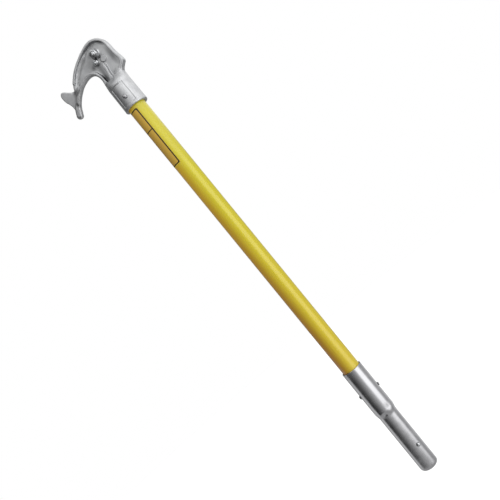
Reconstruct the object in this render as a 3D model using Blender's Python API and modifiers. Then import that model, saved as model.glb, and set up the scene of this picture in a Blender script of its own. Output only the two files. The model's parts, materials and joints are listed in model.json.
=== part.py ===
"""Head section of a fibreglass pole saw: cast saw head with its pulling hook and blade clamps,
foam-filled tube, and a swaged ferrule with a snap button. Metres, +Z up the pole, the head's
front faces -Y and the hook reaches towards -X. The origin is the middle of the ferrule's lower end."""

import math

import bmesh
import bpy
from mathutils import Matrix, Vector

# Clearance between pieces that touch or fit into each other
FIT_GAP = 0.0003

# Fibreglass tube and what fills it
POLE_DIAMETER = 0.03175
POLE_WALL = 0.0032
POLE_EXPOSED_LENGTH = 0.5505
SEAL_FLANGE = 0.0015
SEAL_PLUG_DEPTH = 0.0080

# Swaged ferrule
FERRULE_WALL = 0.00185
SLEEVE_LENGTH = 0.0827
NECK_LENGTH = 0.0130
SPIGOT_DIAMETER = 0.0323
SPIGOT_LENGTH = 0.1088
SPIGOT_END_RADIUS = 0.0065
CRIMP_COUNT = 4
CRIMP_RADIUS = 0.0070
CRIMP_DEPTH = 0.0007
CRIMP_TURN = 43.5

# Rivet through the ferrule and the tube
FERRULE_RIVET_DROP = 0.0469
FERRULE_RIVET_TURN = 108.5
FERRULE_RIVET_SHANK = 0.0040
FERRULE_RIVET_HEAD = 0.0068
FERRULE_RIVET_HEAD_HEIGHT = 0.0017

# Snap button and its leaf spring in the spigot
BUTTON_HEIGHT = 0.0456
BUTTON_TURN = 41.0
BUTTON_DIAMETER = 0.00635
BUTTON_STAND = 0.0040
BUTTON_FLANGE = 0.0090
BUTTON_FLANGE_THICKNESS = 0.0010
BUTTON_TAIL = 0.0030
BUTTON_TAIL_HEAD = 0.0048
BUTTON_TAIL_HEAD_THICKNESS = 0.0008
SPRING_WIDTH = 0.0090
SPRING_THICKNESS = 0.0008
SPRING_BELOW_BUTTON = 0.0100
SPRING_ABOVE_BUTTON = 0.0260
SPRING_BACK_LEG = 0.0300

# Socket of the casting
SOCKET_LENGTH = 0.0550
SOCKET_DEPTH = 0.0455
SOCKET_OFFSET = 0.0006
SOCKET_RIM_WALL = 0.0051
SOCKET_LIP_RADIUS = 0.0012
SOCKET_MOUTH_CHAMFER = 0.0007

# Rivet through the socket and the tube
HEAD_RIVET_RISE = 0.0191
HEAD_RIVET_TURN = 4.0
HEAD_RIVET_SHANK = 0.0048
HEAD_RIVET_HEAD = 0.0072
HEAD_RIVET_HEAD_HEIGHT = 0.0025

# Flat part of the casting: depth from its front rims to its blade seat, and the web at the back
HEAD_DEPTH = 0.0130
WEB_THICKNESS = 0.0050
FIN_THICKNESS = 0.0044
CAST_STEP = 0.0003
EDGE_RADIUS = 0.0013
FIN_EDGE_RADIUS = 0.0012
POCKET_FILLET = 0.0016
RIB_SETBACK = 0.0005
RIB_FILLET = 0.0009
BOSS_DIAMETER = 0.0114
BOSS_HEIGHT = 0.0017
BOSS_AT = (0.0070, 0.0400)

# Outline points of the casting: x, and height above the socket's upper end
HEAD_OUTLINE = [
    (-0.0713, 0.0343),
    (-0.0642, 0.0415),
    (-0.0551, 0.0504),
    (-0.0434, 0.0590),
    (-0.0274, 0.0668),
    (-0.0079, 0.0732),
    (0.0050, 0.0750),
    (0.0160, 0.0720),
    (0.0246, 0.0651),
    (0.0290, 0.0565),
    (0.0302, 0.0463),
    (0.0316, 0.0309),
    (0.0339, 0.0180),
    (0.0331, 0.0129),
    (0.0278, 0.0088),
    (0.0219, 0.0032),
    (0.0210, -0.0040),
    (0.0204, -0.0120),
    (-0.0190, -0.0120),
    (-0.0192, -0.0040),
    (-0.0176, 0.0053),
    (-0.0160, 0.0143),
    (-0.0180, 0.0230),
    (-0.0235, 0.0318),
    (-0.0335, 0.0365),
    (-0.0450, 0.0356),
    (-0.0560, 0.0323),
    (-0.0650, 0.0271),
]
HEAD_CORNERS = (0, 17, 18, 27)
POCKET_OUTLINE = [
    (-0.0118, 0.0090),
    (-0.0094, 0.0040),
    (-0.0045, 0.0034),
    (0.0050, 0.0034),
    (0.0100, 0.0050),
    (0.0190, 0.0098),
    (0.0262, 0.0138),
    (0.0284, 0.0177),
    (0.0276, 0.0292),
    (0.0262, 0.0462),
    (0.0254, 0.0551),
    (0.0215, 0.0622),
    (0.0142, 0.0680),
    (0.0048, 0.0708),
    (-0.0075, 0.0691),
    (-0.0258, 0.0630),
    (-0.0412, 0.0556),
    (-0.0525, 0.0472),
    (-0.0620, 0.0382),
    (-0.0715, 0.0298),
    (-0.0800, 0.0244),
    (-0.0700, 0.0223),
    (-0.0580, 0.0324),
    (-0.0455, 0.0373),
    (-0.0340, 0.0382),
    (-0.0246, 0.0363),
    (-0.0166, 0.0303),
    (-0.0136, 0.0229),
    (-0.0122, 0.0155),
]
FIN_OUTLINE = [
    (-0.0560, 0.0415),
    (-0.0640, 0.0383),
    (-0.0690, 0.0381),
    (-0.0737, 0.0395),
    (-0.0795, 0.0436),
    (-0.0850, 0.0490),
    (-0.0905, 0.0515),
    (-0.0942, 0.0486),
    (-0.0953, 0.0397),
    (-0.0940, 0.0332),
    (-0.0914, 0.0271),
    (-0.0898, 0.0200),
    (-0.0885, 0.0120),
    (-0.0800, 0.0144),
    (-0.0660, 0.0270),
    (-0.0540, 0.0346),
]
RIB_OUTLINE = [
    (-0.0052, 0.0000),
    (0.0006, 0.0000),
    (0.0016, 0.0120),
    (0.0034, 0.0215),
    (0.0044, 0.0290),
    (0.0030, 0.0330),
    (-0.0002, 0.0310),
    (-0.0014, 0.0220),
    (-0.0032, 0.0120),
]
# Shoulder between the round socket and the flat head: height, left and right edge,
# half depth, and squareness of the section, which is 2 for a plain ellipse
SHOULDER_STATIONS = [
    (-0.0110, -0.0202, 0.0214, 0.0208, 2.0),
    (-0.0065, -0.0200, 0.0214, 0.0193, 2.1),
    (-0.0022, -0.0195, 0.0214, 0.0158, 2.3),
    (0.0020, -0.0188, 0.0219, 0.0118, 2.6),
    (0.0060, -0.0178, 0.0248, 0.0081, 3.2),
    (0.0095, -0.0171, 0.0288, 0.0063, 4.0),
    (0.0118, -0.0168, 0.0312, 0.0058, 4.0),
]
# Edge of the hook's rail on its inner side, from the point to the socket: x, height,
# then the rail's thickness in the plane of the head and its depth
RAIL_STATIONS = [
    (-0.0836, -0.0018, 0.0114, 0.0108),
    (-0.0810, 0.0032, 0.0114, 0.0108),
    (-0.0780, 0.0083, 0.0110, 0.0110),
    (-0.0747, 0.0129, 0.0098, 0.0112),
    (-0.0706, 0.0171, 0.0072, 0.0118),
    (-0.0656, 0.0214, 0.0061, 0.0122),
    (-0.0595, 0.0255, 0.0055, 0.0124),
    (-0.0525, 0.0293, 0.0053, 0.0124),
    (-0.0438, 0.0319, 0.0052, 0.0124),
    (-0.0345, 0.0330, 0.0051, 0.0124),
    (-0.0262, 0.0310, 0.0049, 0.0124),
    (-0.0205, 0.0256, 0.0047, 0.0124),
    (-0.0179, 0.0190, 0.0047, 0.0124),
    (-0.0176, 0.0120, 0.0049, 0.0124),
    (-0.0187, 0.0050, 0.0052, 0.0124),
    (-0.0194, -0.0036, 0.0054, 0.0124),
]
RAIL_SQUARENESS = 2.7
# Plane in which the upper rim runs out into the fin: x at the web, and x at the rim's front
RUNOUT_FROM = -0.0718
RUNOUT_TO = -0.0640

# Blade clamps: place of each bolt on the head, then its hardware
LARGE_BOLT_AT = (0.0008, 0.0541)
SMALL_BOLT_AT = (-0.0072, 0.0423)
LARGE = {
    "thread": 0.00794,
    "flats": 0.0127,
    "nut_height": 0.0053,
    "head_height": 0.0048,
    "pad": 0.0166,
    "pad_height": 0.0005,
    "washer": 0.0175,
    "washer_thickness": 0.0012,
    "lock": 0.0138,
    "lock_thickness": 0.0016,
    "end": 0.0013,
}
SMALL = {
    "thread": 0.00483,
    "flats": 0.00953,
    "nut_height": 0.0034,
    "head_height": 0.0032,
    "pad": 0.0104,
    "pad_height": 0.0005,
    "washer": 0.0104,
    "washer_thickness": 0.0010,
    "lock": 0.0086,
    "lock_thickness": 0.0012,
    "end": 0.0011,
}
LOCK_SLIT = 0.0009
NUT_TURN = 12.0

# Facets of the turned pieces
ROUND_STEPS = 48
SMALL_STEPS = 24
OUTLINE_STEPS = 3

# Heights and radii that follow from the sizes above
POLE_RADIUS = POLE_DIAMETER / 2
POLE_BORE_RADIUS = POLE_RADIUS - POLE_WALL
SPIGOT_RADIUS = SPIGOT_DIAMETER / 2
SPIGOT_BORE_RADIUS = SPIGOT_RADIUS - FERRULE_WALL
SLEEVE_BORE_RADIUS = POLE_RADIUS + FIT_GAP
SLEEVE_RADIUS = SLEEVE_BORE_RADIUS + FERRULE_WALL
NECK_TOP = SPIGOT_LENGTH + NECK_LENGTH
FERRULE_TOP = NECK_TOP + SLEEVE_LENGTH
LOWER_FLANGE_Z = NECK_TOP + FIT_GAP
POLE_BOTTOM = LOWER_FLANGE_Z + SEAL_FLANGE + FIT_GAP
SOCKET_RIM = FERRULE_TOP + POLE_EXPOSED_LENGTH
BORE_TOP = SOCKET_RIM + SOCKET_DEPTH
HEAD_BASE = SOCKET_RIM + SOCKET_LENGTH
UPPER_FLANGE_Z = BORE_TOP - FIT_GAP - SEAL_FLANGE
POLE_TOP = UPPER_FLANGE_Z - FIT_GAP
SOCKET_BORE_RADIUS = POLE_RADIUS + FIT_GAP
SOCKET_RIM_RADIUS = SOCKET_BORE_RADIUS + SOCKET_RIM_WALL
SEAT_Y = HEAD_DEPTH / 2
WEB_FRONT_Y = SEAT_Y - WEB_THICKNESS
RIM_FRONT_Y = -HEAD_DEPTH / 2
FERRULE_RIVET_Z = FERRULE_TOP - FERRULE_RIVET_DROP
HEAD_RIVET_Z = SOCKET_RIM + HEAD_RIVET_RISE
PAST = 0.002


def clear_scene():
    for old in list(bpy.data.objects):
        bpy.data.objects.remove(old, do_unlink=True)


def new_collection(name, hidden=False):
    collection = bpy.data.collections.new(name)
    bpy.context.scene.collection.children.link(collection)
    collection.hide_render = hidden
    return collection


def make_material(name, color, roughness, metallic):
    material = bpy.data.materials.new(name)
    material.use_nodes = True
    shader = material.node_tree.nodes["Principled BSDF"]
    shader.inputs["Base Color"].default_value = (*color, 1.0)
    shader.inputs["Roughness"].default_value = roughness
    shader.inputs["Metallic"].default_value = metallic
    material.diffuse_color = (*color, 1.0)
    return material


clear_scene()
PARTS = new_collection("pole_saw_head_section")
CUTTERS = new_collection("cutters", hidden=True)


def link_part(obj, material, smooth_angle=35.0):
    PARTS.objects.link(obj)
    obj.data.materials.clear()
    obj.data.materials.append(material)
    obj.data.shade_smooth()
    obj.data.set_sharp_from_angle(angle=math.radians(smooth_angle))
    return obj


def link_helper(obj):
    CUTTERS.objects.link(obj)
    obj.hide_render = True
    obj.display_type = "WIRE"
    return obj


def mesh_object(name, mesh_from):
    mesh = bpy.data.meshes.new(name)
    mesh_from.to_mesh(mesh)
    mesh_from.free()
    return bpy.data.objects.new(name, mesh)


def turned(name, profile, steps):
    """Object whose (radius, height) profile, outer side downwards, is swept round local Z."""
    mesh = bpy.data.meshes.new(name)
    closed = profile[0][0] > 0 or profile[-1][0] > 0
    edges = [(i, i + 1) for i in range(len(profile) - 1)]
    if closed:
        edges.append((len(profile) - 1, 0))
    mesh.from_pydata([(radius, 0.0, height) for radius, height in profile], edges, [])
    obj = bpy.data.objects.new(name, mesh)
    screw = obj.modifiers.new("turn", "SCREW")
    screw.axis = "Z"
    screw.angle = math.tau
    screw.steps = steps
    screw.render_steps = steps
    screw.use_merge_vertices = True
    screw.merge_threshold = 0.000001
    screw.use_smooth_shade = True
    return obj


def rod(name, radius, bottom, top, steps):
    """Cylinder along local Z, with the middle of a facet and not a corner towards local X."""
    bm = bmesh.new()
    half_facet = Matrix.Rotation(math.pi / steps, 4, "Z")
    middle = Matrix.Translation((0.0, 0.0, (bottom + top) / 2)) @ half_facet
    bmesh.ops.create_cone(
        bm,
        cap_ends=True,
        segments=steps,
        radius1=radius,
        radius2=radius,
        depth=top - bottom,
        matrix=middle,
    )
    return mesh_object(name, bm)


def block(name, size, middle):
    bm = bmesh.new()
    place = Matrix.Translation(middle) @ Matrix.Diagonal((*size, 1.0))
    bmesh.ops.create_cube(bm, size=1.0, matrix=place)
    return mesh_object(name, bm)


def evaluated_mesh(obj):
    bpy.context.view_layer.update()
    graph = bpy.context.evaluated_depsgraph_get()
    return bpy.data.meshes.new_from_object(obj.evaluated_get(graph))


def drawn_plate(name, points, front, back, corners=()):
    """Flat plate in the XZ plane from a smooth outline, between two depths along Y."""
    curve = bpy.data.curves.new(name, "CURVE")
    curve.dimensions = "2D"
    curve.fill_mode = "BOTH"
    curve.extrude = abs(back - front) / 2
    curve.resolution_u = OUTLINE_STEPS
    spline = curve.splines.new("BEZIER")
    spline.bezier_points.add(len(points) - 1)
    spline.use_cyclic_u = True
    for index, (x, rise) in enumerate(points):
        knot = spline.bezier_points[index]
        knot.co = (x, HEAD_BASE + rise, 0.0)
        kind = "VECTOR" if index in corners else "AUTO"
        knot.handle_left_type = kind
        knot.handle_right_type = kind
    drawn = bpy.data.objects.new(name + "_outline", curve)
    CUTTERS.objects.link(drawn)
    drawn.rotation_euler = (math.pi / 2, 0.0, 0.0)
    drawn.location = (0.0, (front + back) / 2, 0.0)
    mesh = evaluated_mesh(drawn)
    bm = bmesh.new()
    bm.from_mesh(mesh)
    bmesh.ops.remove_doubles(bm, verts=bm.verts, dist=0.000001)
    bmesh.ops.transform(bm, matrix=drawn.matrix_world, verts=bm.verts)
    bmesh.ops.recalc_face_normals(bm, faces=bm.faces)
    for side in (1, -1):
        caps = [face for face in bm.faces if face.normal.y * side > 0.9]
        bmesh.ops.dissolve_faces(bm, faces=caps)
    bpy.data.objects.remove(drawn)
    return mesh_object(name, bm)


def round_edges(obj, radius, segments=2, front=True, back=True):
    """Rounds the edges between a plate's faces across Y and its side walls."""
    bm = bmesh.new()
    bm.from_mesh(obj.data)
    wanted = []
    for edge in bm.edges:
        if len(edge.link_faces) != 2:
            continue
        facing = sorted(face.normal.y for face in edge.link_faces)
        if front and facing[0] < -0.9 and abs(facing[1]) < 0.5:
            wanted.append(edge)
        if back and facing[1] > 0.9 and abs(facing[0]) < 0.5:
            wanted.append(edge)
    bmesh.ops.bevel(
        bm,
        geom=wanted,
        offset=radius,
        offset_type="OFFSET",
        segments=segments,
        profile=0.5,
        affect="EDGES",
        clamp_overlap=True,
        material=-1,
    )
    bm.to_mesh(obj.data)
    bm.free()


def boolean(obj, operation, other):
    step = obj.modifiers.new(operation.lower() + "_" + other.name, "BOOLEAN")
    step.operation = operation
    step.solver = "EXACT"
    step.object = other


def turn_to(turn):
    """Rotation that lays local Z level, out of the pole at this turn from the front, with local Y up."""
    angle = math.radians(turn)
    outward = Vector((math.sin(angle), -math.cos(angle), 0.0))
    return outward.to_track_quat("Z", "Y").to_euler()


def through_hole(target, name, radius, half_length, turn, height):
    cutter = link_helper(rod(name, radius, -half_length, half_length, SMALL_STEPS))
    cutter.rotation_euler = turn_to(turn)
    cutter.location = (0.0, 0.0, height)
    boolean(target, "DIFFERENCE", cutter)


def quarter(center, radius, start, end, steps):
    """Points of an arc about (radius, height) center, angles in degrees from the outward direction."""
    found = []
    for step in range(steps + 1):
        angle = math.radians(start + (end - start) * step / steps)
        found.append((center[0] + radius * math.cos(angle), center[1] + radius * math.sin(angle)))
    return found


# Casting


def oval_ring(bm, height, left, right, deep, square=2.0, sides=ROUND_STEPS):
    """Level ring of points, round for a squareness of 2 and boxier for more."""
    ring = []
    power = 2 / square
    for step in range(sides):
        angle = math.tau * step / sides
        along, forward = math.cos(angle), math.sin(angle)
        along = math.copysign(abs(along) ** power, along) * (right - left) / 2
        forward = math.copysign(abs(forward) ** power, forward) * deep
        ring.append(bm.verts.new(((left + right) / 2 + along, forward, height)))
    return ring


def skin(bm, rings, tip=None):
    """Faces between rings that follow each other, closed at the ends or drawn to a tip."""
    sides = len(rings[0])
    for low, high in zip(rings, rings[1:]):
        for side in range(sides):
            following = (side + 1) % sides
            bm.faces.new((low[side], low[following], high[following], high[side]))
    if tip is None:
        bm.faces.new(rings[0])
    else:
        for side in range(sides):
            bm.faces.new((tip, rings[0][side], rings[0][(side + 1) % sides]))
    bm.faces.new(rings[-1])
    bmesh.ops.recalc_face_normals(bm, faces=bm.faces)


def socket_body():
    """Solid socket: drafted barrel with a rounded lip, lofted into the flat part's shoulder."""
    bm = bmesh.new()
    lip_center = (SOCKET_RIM_RADIUS - SOCKET_LIP_RADIUS, SOCKET_RIM + SOCKET_LIP_RADIUS)
    lip = quarter(lip_center, SOCKET_LIP_RADIUS, -90.0, 0.0, 3)
    rings = []
    for radius, height in lip:
        rings.append(oval_ring(bm, height, SOCKET_OFFSET - radius, SOCKET_OFFSET + radius, radius))
    for rise, left, right, deep, square in SHOULDER_STATIONS:
        rings.append(oval_ring(bm, HEAD_BASE + rise, left, right, deep, square))
    skin(bm, rings)
    return link_helper(mesh_object("socket_body", bm))


def socket_bore():
    chamfer = SOCKET_MOUTH_CHAMFER
    low = SOCKET_RIM - PAST
    profile = [
        (0.0, BORE_TOP),
        (SOCKET_BORE_RADIUS, BORE_TOP),
        (SOCKET_BORE_RADIUS, SOCKET_RIM + chamfer),
        (SOCKET_BORE_RADIUS + chamfer + PAST, low),
        (0.0, low),
    ]
    return link_helper(turned("socket_bore", profile, ROUND_STEPS))


def between(values, index, share):
    """Smooth value between the stations index and index + 1, from their neighbours."""
    last = len(values) - 1
    before, low = values[max(index - 1, 0)], values[index]
    high, after = values[index + 1], values[min(index + 2, last)]
    bend = 2 * before - 5 * low + 4 * high - after
    turn = 3 * low - before - 3 * high + after
    return 0.5 * (2 * low + share * (high - before + share * (bend + share * turn)))


def rail_sections(per_span=3):
    """Middle, inward direction, half thickness and half depth along the hook's rail."""
    columns = list(zip(*RAIL_STATIONS))
    samples = []
    for index in range(len(RAIL_STATIONS) - 1):
        for step in range(per_span):
            samples.append([between(column, index, step / per_span) for column in columns])
    samples.append(list(RAIL_STATIONS[-1]))
    sections = []
    for index, (x, rise, thickness, depth) in enumerate(samples):
        ahead = samples[min(index + 1, len(samples) - 1)]
        behind = samples[max(index - 1, 0)]
        along = Vector((ahead[0] - behind[0], 0.0, ahead[1] - behind[1])).normalized()
        inward = Vector((-along.z, 0.0, along.x))
        edge = Vector((x, SEAT_Y - CAST_STEP - depth / 2, HEAD_BASE + rise))
        sections.append((edge + inward * thickness / 2, inward, thickness / 2, depth / 2))
    return sections


def rail_ring(bm, middle, inward, thick, deep, sides=14):
    ring = []
    power = 2 / RAIL_SQUARENESS
    for step in range(sides):
        angle = math.tau * step / sides
        across, forward = math.cos(angle), math.sin(angle)
        across = math.copysign(abs(across) ** power, across) * thick
        forward = math.copysign(abs(forward) ** power, forward) * deep
        ring.append(bm.verts.new(middle + inward * across + Vector((0.0, forward, 0.0))))
    return ring


def hook_rail():
    """Loft of the hook: round point, then a rail whose section goes from round to narrow and deep."""
    bm = bmesh.new()
    sections = rail_sections()
    middle, inward, thick, deep = sections[0]
    outward = Vector((-inward.z, 0.0, inward.x))
    outward = outward if outward.z < 0 else -outward
    tip = bm.verts.new(middle + outward * thick)
    rings = []
    for angle in (66.0, 44.0, 22.0):
        share = math.cos(math.radians(angle))
        reach = outward * thick * math.sin(math.radians(angle))
        rings.append(rail_ring(bm, middle + reach, inward, thick * share, deep * share))
    rings += [rail_ring(bm, *section) for section in sections]
    skin(bm, rings, tip)
    return link_helper(mesh_object("hook_rail", bm))


def head_plate():
    plate = drawn_plate("head_plate", HEAD_OUTLINE, RIM_FRONT_Y, SEAT_Y, HEAD_CORNERS)
    round_edges(plate, EDGE_RADIUS)
    return link_helper(plate)


def head_pocket():
    """Cutter of the pocket, down to the web, with a filleted floor."""
    front = -SOCKET_RIM_RADIUS - PAST
    pocket = drawn_plate("head_pocket", POCKET_OUTLINE, front, WEB_FRONT_Y)
    round_edges(pocket, POCKET_FILLET, front=False)
    return link_helper(pocket)


def rim_runout():
    """Cutter that slopes the end of the upper rim down to the web."""
    slope = (RUNOUT_TO - RUNOUT_FROM) / (WEB_FRONT_Y - RIM_FRONT_Y)
    front = RIM_FRONT_Y - PAST
    far = HEAD_OUTLINE[0][0] - HEAD_DEPTH
    corners = [
        (far, front),
        (RUNOUT_TO + slope * PAST, front),
        (RUNOUT_FROM, WEB_FRONT_Y),
        (far, WEB_FRONT_Y),
    ]
    bm = bmesh.new()
    base = [bm.verts.new((x, y, HEAD_BASE)) for x, y in corners]
    grown = bmesh.ops.extrude_face_region(bm, geom=[bm.faces.new(base)])["geom"]
    moved = [item for item in grown if isinstance(item, bmesh.types.BMVert)]
    bmesh.ops.translate(bm, vec=(0.0, 0.0, HEAD_OUTLINE[3][1]), verts=moved)
    bmesh.ops.recalc_face_normals(bm, faces=bm.faces)
    return link_helper(mesh_object("rim_runout", bm))


def head_web():
    """Thin web at the back, which fills the pocket's floor and runs out into the fin."""
    back = SEAT_Y - CAST_STEP
    web = drawn_plate("head_web", FIN_OUTLINE, back - FIN_THICKNESS, back)
    round_edges(web, FIN_EDGE_RADIUS)
    return link_helper(web)


def head_rib():
    rib = drawn_plate("head_rib", RIB_OUTLINE, RIM_FRONT_Y + RIB_SETBACK, WEB_FRONT_Y + FIT_GAP)
    round_edges(rib, RIB_FILLET, back=False)
    return link_helper(rib)


def facing_front(obj, at, y):
    """Lays a piece that was made along local Z on the head, pointing to the front."""
    obj.rotation_euler = (math.pi / 2, 0.0, 0.0)
    obj.location = (at[0], y, HEAD_BASE + at[1])
    return obj


def raised_disc(name, diameter, at, height):
    """Round boss that stands out of the web, with a drafted side."""
    bm = bmesh.new()
    bottom = WEB_THICKNESS / 2
    draft = height / 4
    middle = Matrix.Translation((0.0, 0.0, (height + bottom) / 2))
    bmesh.ops.create_cone(
        bm,
        cap_ends=True,
        segments=SMALL_STEPS,
        radius1=diameter / 2 + draft,
        radius2=diameter / 2 - draft,
        depth=height + bottom,
        matrix=middle,
    )
    disc = mesh_object(name, bm)
    return link_helper(facing_front(disc, at, WEB_FRONT_Y + bottom))


def clamp_hole(name, hardware, at):
    radius = hardware["thread"] / 2 + FIT_GAP
    hole = rod(name, radius, -HEAD_DEPTH, HEAD_DEPTH, SMALL_STEPS)
    return link_helper(facing_front(hole, at, 0.0))


def saw_head(material):
    head = socket_body()
    CUTTERS.objects.unlink(head)
    head.name = "saw_head"
    head.hide_render = False
    head.display_type = "TEXTURED"
    link_part(head, material)
    boolean(head, "UNION", head_plate())
    boolean(head, "DIFFERENCE", head_pocket())
    boolean(head, "DIFFERENCE", rim_runout())
    boolean(head, "UNION", head_web())
    boolean(head, "UNION", hook_rail())
    boolean(head, "UNION", head_rib())
    boolean(head, "UNION", raised_disc("boss", BOSS_DIAMETER, BOSS_AT, BOSS_HEIGHT))
    boolean(head, "UNION", raised_disc("large_pad", LARGE["pad"], LARGE_BOLT_AT, LARGE["pad_height"]))
    boolean(head, "UNION", raised_disc("small_pad", SMALL["pad"], SMALL_BOLT_AT, SMALL["pad_height"]))
    boolean(head, "DIFFERENCE", socket_bore())
    boolean(head, "DIFFERENCE", clamp_hole("large_clamp_hole", LARGE, LARGE_BOLT_AT))
    boolean(head, "DIFFERENCE", clamp_hole("small_clamp_hole", SMALL, SMALL_BOLT_AT))
    hole = HEAD_RIVET_SHANK / 2 + FIT_GAP
    reach = SOCKET_RIM_RADIUS + PAST
    through_hole(head, "socket_rivet_hole", hole, reach, HEAD_RIVET_TURN, HEAD_RIVET_Z)
    return head


# Tube, foam and seals


def pole_tube(material):
    chamfer = POLE_WALL / 8
    profile = [
        (POLE_BORE_RADIUS, POLE_TOP),
        (POLE_RADIUS - chamfer, POLE_TOP),
        (POLE_RADIUS, POLE_TOP - chamfer),
        (POLE_RADIUS, POLE_BOTTOM + chamfer),
        (POLE_RADIUS - chamfer, POLE_BOTTOM),
        (POLE_BORE_RADIUS, POLE_BOTTOM),
    ]
    tube = link_part(turned("pole_tube", profile, ROUND_STEPS), material)
    reach = POLE_RADIUS + PAST
    upper, lower = HEAD_RIVET_SHANK / 2 + FIT_GAP, FERRULE_RIVET_SHANK / 2 + FIT_GAP
    through_hole(tube, "tube_upper_hole", upper, reach, HEAD_RIVET_TURN, HEAD_RIVET_Z)
    through_hole(tube, "tube_lower_hole", lower, reach, FERRULE_RIVET_TURN, FERRULE_RIVET_Z)
    return tube


def foam_core(material):
    radius = POLE_BORE_RADIUS - FIT_GAP
    inset = SEAL_PLUG_DEPTH + FIT_GAP
    core = rod("foam_core", radius, POLE_BOTTOM + inset, POLE_TOP - inset, ROUND_STEPS)
    link_part(core, material)
    upper, lower = HEAD_RIVET_SHANK / 2 + FIT_GAP, FERRULE_RIVET_SHANK / 2 + FIT_GAP
    through_hole(core, "foam_upper_hole", upper, POLE_RADIUS, HEAD_RIVET_TURN, HEAD_RIVET_Z)
    through_hole(core, "foam_lower_hole", lower, POLE_RADIUS, FERRULE_RIVET_TURN, FERRULE_RIVET_Z)
    return core


def end_seal(name, flange_z, upwards, material):
    """Plug with a flange: it closes the foam and lies against the tube's cut end."""
    plug, flange = POLE_BORE_RADIUS - FIT_GAP, POLE_RADIUS - FIT_GAP
    depth = SEAL_FLANGE + FIT_GAP + SEAL_PLUG_DEPTH
    lead = SEAL_FLANGE / 2
    profile = [
        (0.0, depth),
        (plug - lead, depth),
        (plug, depth - lead),
        (plug, SEAL_FLANGE),
        (flange, SEAL_FLANGE),
        (flange, 0.0),
        (0.0, 0.0),
    ]
    seal = link_part(turned(name, profile, ROUND_STEPS), material)
    seal.location = (0.0, 0.0, flange_z)
    if not upwards:
        seal.rotation_euler = (math.pi, 0.0, 0.0)
    return seal


# Ferrule with its rivet


def neck_profile(low_radius, high_radius, steps=5):
    """Soft S-shaped step between the spigot and the sleeve, from the top down."""
    found = []
    for step in range(steps + 1):
        share = 1 - step / steps
        ease = share * share * (3 - 2 * share)
        found.append((low_radius + (high_radius - low_radius) * ease, SPIGOT_LENGTH + NECK_LENGTH * share))
    return found


def ferrule(material):
    outer = SPIGOT_END_RADIUS
    inner = outer - FERRULE_WALL
    roll = (SPIGOT_RADIUS - outer, outer)
    profile = [(SLEEVE_BORE_RADIUS, FERRULE_TOP), (SLEEVE_RADIUS, FERRULE_TOP)]
    profile += neck_profile(SPIGOT_RADIUS, SLEEVE_RADIUS)
    profile += quarter(roll, outer, 0.0, -90.0, 4)
    profile += quarter(roll, inner, -90.0, 0.0, 4)
    profile += reversed(neck_profile(SPIGOT_BORE_RADIUS, SLEEVE_BORE_RADIUS))
    tube = link_part(turned("ferrule", profile, ROUND_STEPS), material)
    for count in range(CRIMP_COUNT):
        crimp(tube, count)
    reach = SLEEVE_RADIUS + PAST
    hole = FERRULE_RIVET_SHANK / 2 + FIT_GAP
    through_hole(tube, "ferrule_rivet_hole", hole, reach, FERRULE_RIVET_TURN, FERRULE_RIVET_Z)
    opening = rod("button_hole", BUTTON_DIAMETER / 2 + FIT_GAP, 0.0, reach, SMALL_STEPS)
    link_helper(opening)
    opening.rotation_euler = turn_to(BUTTON_TURN)
    opening.location = (0.0, 0.0, BUTTON_HEIGHT)
    boolean(tube, "DIFFERENCE", opening)
    return tube


def crimp(tube, count):
    """One of the shallow dimples that the crimping tool leaves round the neck."""
    angle = math.radians(CRIMP_TURN + 360.0 * count / CRIMP_COUNT)
    reach = SLEEVE_RADIUS + CRIMP_RADIUS - CRIMP_DEPTH - FERRULE_WALL / 2
    bm = bmesh.new()
    middle = Matrix.Translation((reach * math.sin(angle), -reach * math.cos(angle), NECK_TOP))
    bmesh.ops.create_icosphere(bm, subdivisions=2, radius=CRIMP_RADIUS, matrix=middle)
    boolean(tube, "DIFFERENCE", link_helper(mesh_object(f"crimp_{count + 1}", bm)))


def through_rivet(name, seat, shank, head, height, material):
    """Rivet along local Z with a domed head at each end, seated at this distance from its middle."""
    base = seat + FIT_GAP
    radius = head / 2
    dome = []
    for step in range(5):
        angle = math.radians(90.0 - 80.0 * step / 4)
        dome.append((radius * math.cos(angle) / math.cos(math.radians(10.0)), base + height * math.sin(angle)))
    dome[0] = (0.0, base + height)
    upper = dome + [(radius, base), (shank / 2, base)]
    lower = [(at, -level) for at, level in reversed(upper)]
    return link_part(turned(name, upper + lower, SMALL_STEPS), material)


def ferrule_rivet(material):
    rivet = through_rivet(
        "ferrule_rivet",
        SLEEVE_RADIUS,
        FERRULE_RIVET_SHANK,
        FERRULE_RIVET_HEAD,
        FERRULE_RIVET_HEAD_HEIGHT,
        material,
    )
    rivet.rotation_euler = turn_to(FERRULE_RIVET_TURN)
    rivet.location = (0.0, 0.0, FERRULE_RIVET_Z)


def head_rivet(material):
    shoulder_rise, _, _, shoulder_radius, _ = SHOULDER_STATIONS[0]
    share = HEAD_RIVET_RISE / (SOCKET_LENGTH + shoulder_rise)
    seat = SOCKET_RIM_RADIUS + (shoulder_radius - SOCKET_RIM_RADIUS) * share
    rivet = through_rivet(
        "head_rivet",
        seat,
        HEAD_RIVET_SHANK,
        HEAD_RIVET_HEAD,
        HEAD_RIVET_HEAD_HEIGHT,
        material,
    )
    rivet.rotation_euler = turn_to(HEAD_RIVET_TURN)
    rivet.location = (0.0, 0.0, HEAD_RIVET_Z)


# Snap button and spring

BUTTON_FLANGE_TOP = math.sqrt(SPIGOT_BORE_RADIUS**2 - (BUTTON_FLANGE / 2) ** 2) - FIT_GAP
LEAF_TOP = BUTTON_FLANGE_TOP - BUTTON_FLANGE_THICKNESS - FIT_GAP


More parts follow.
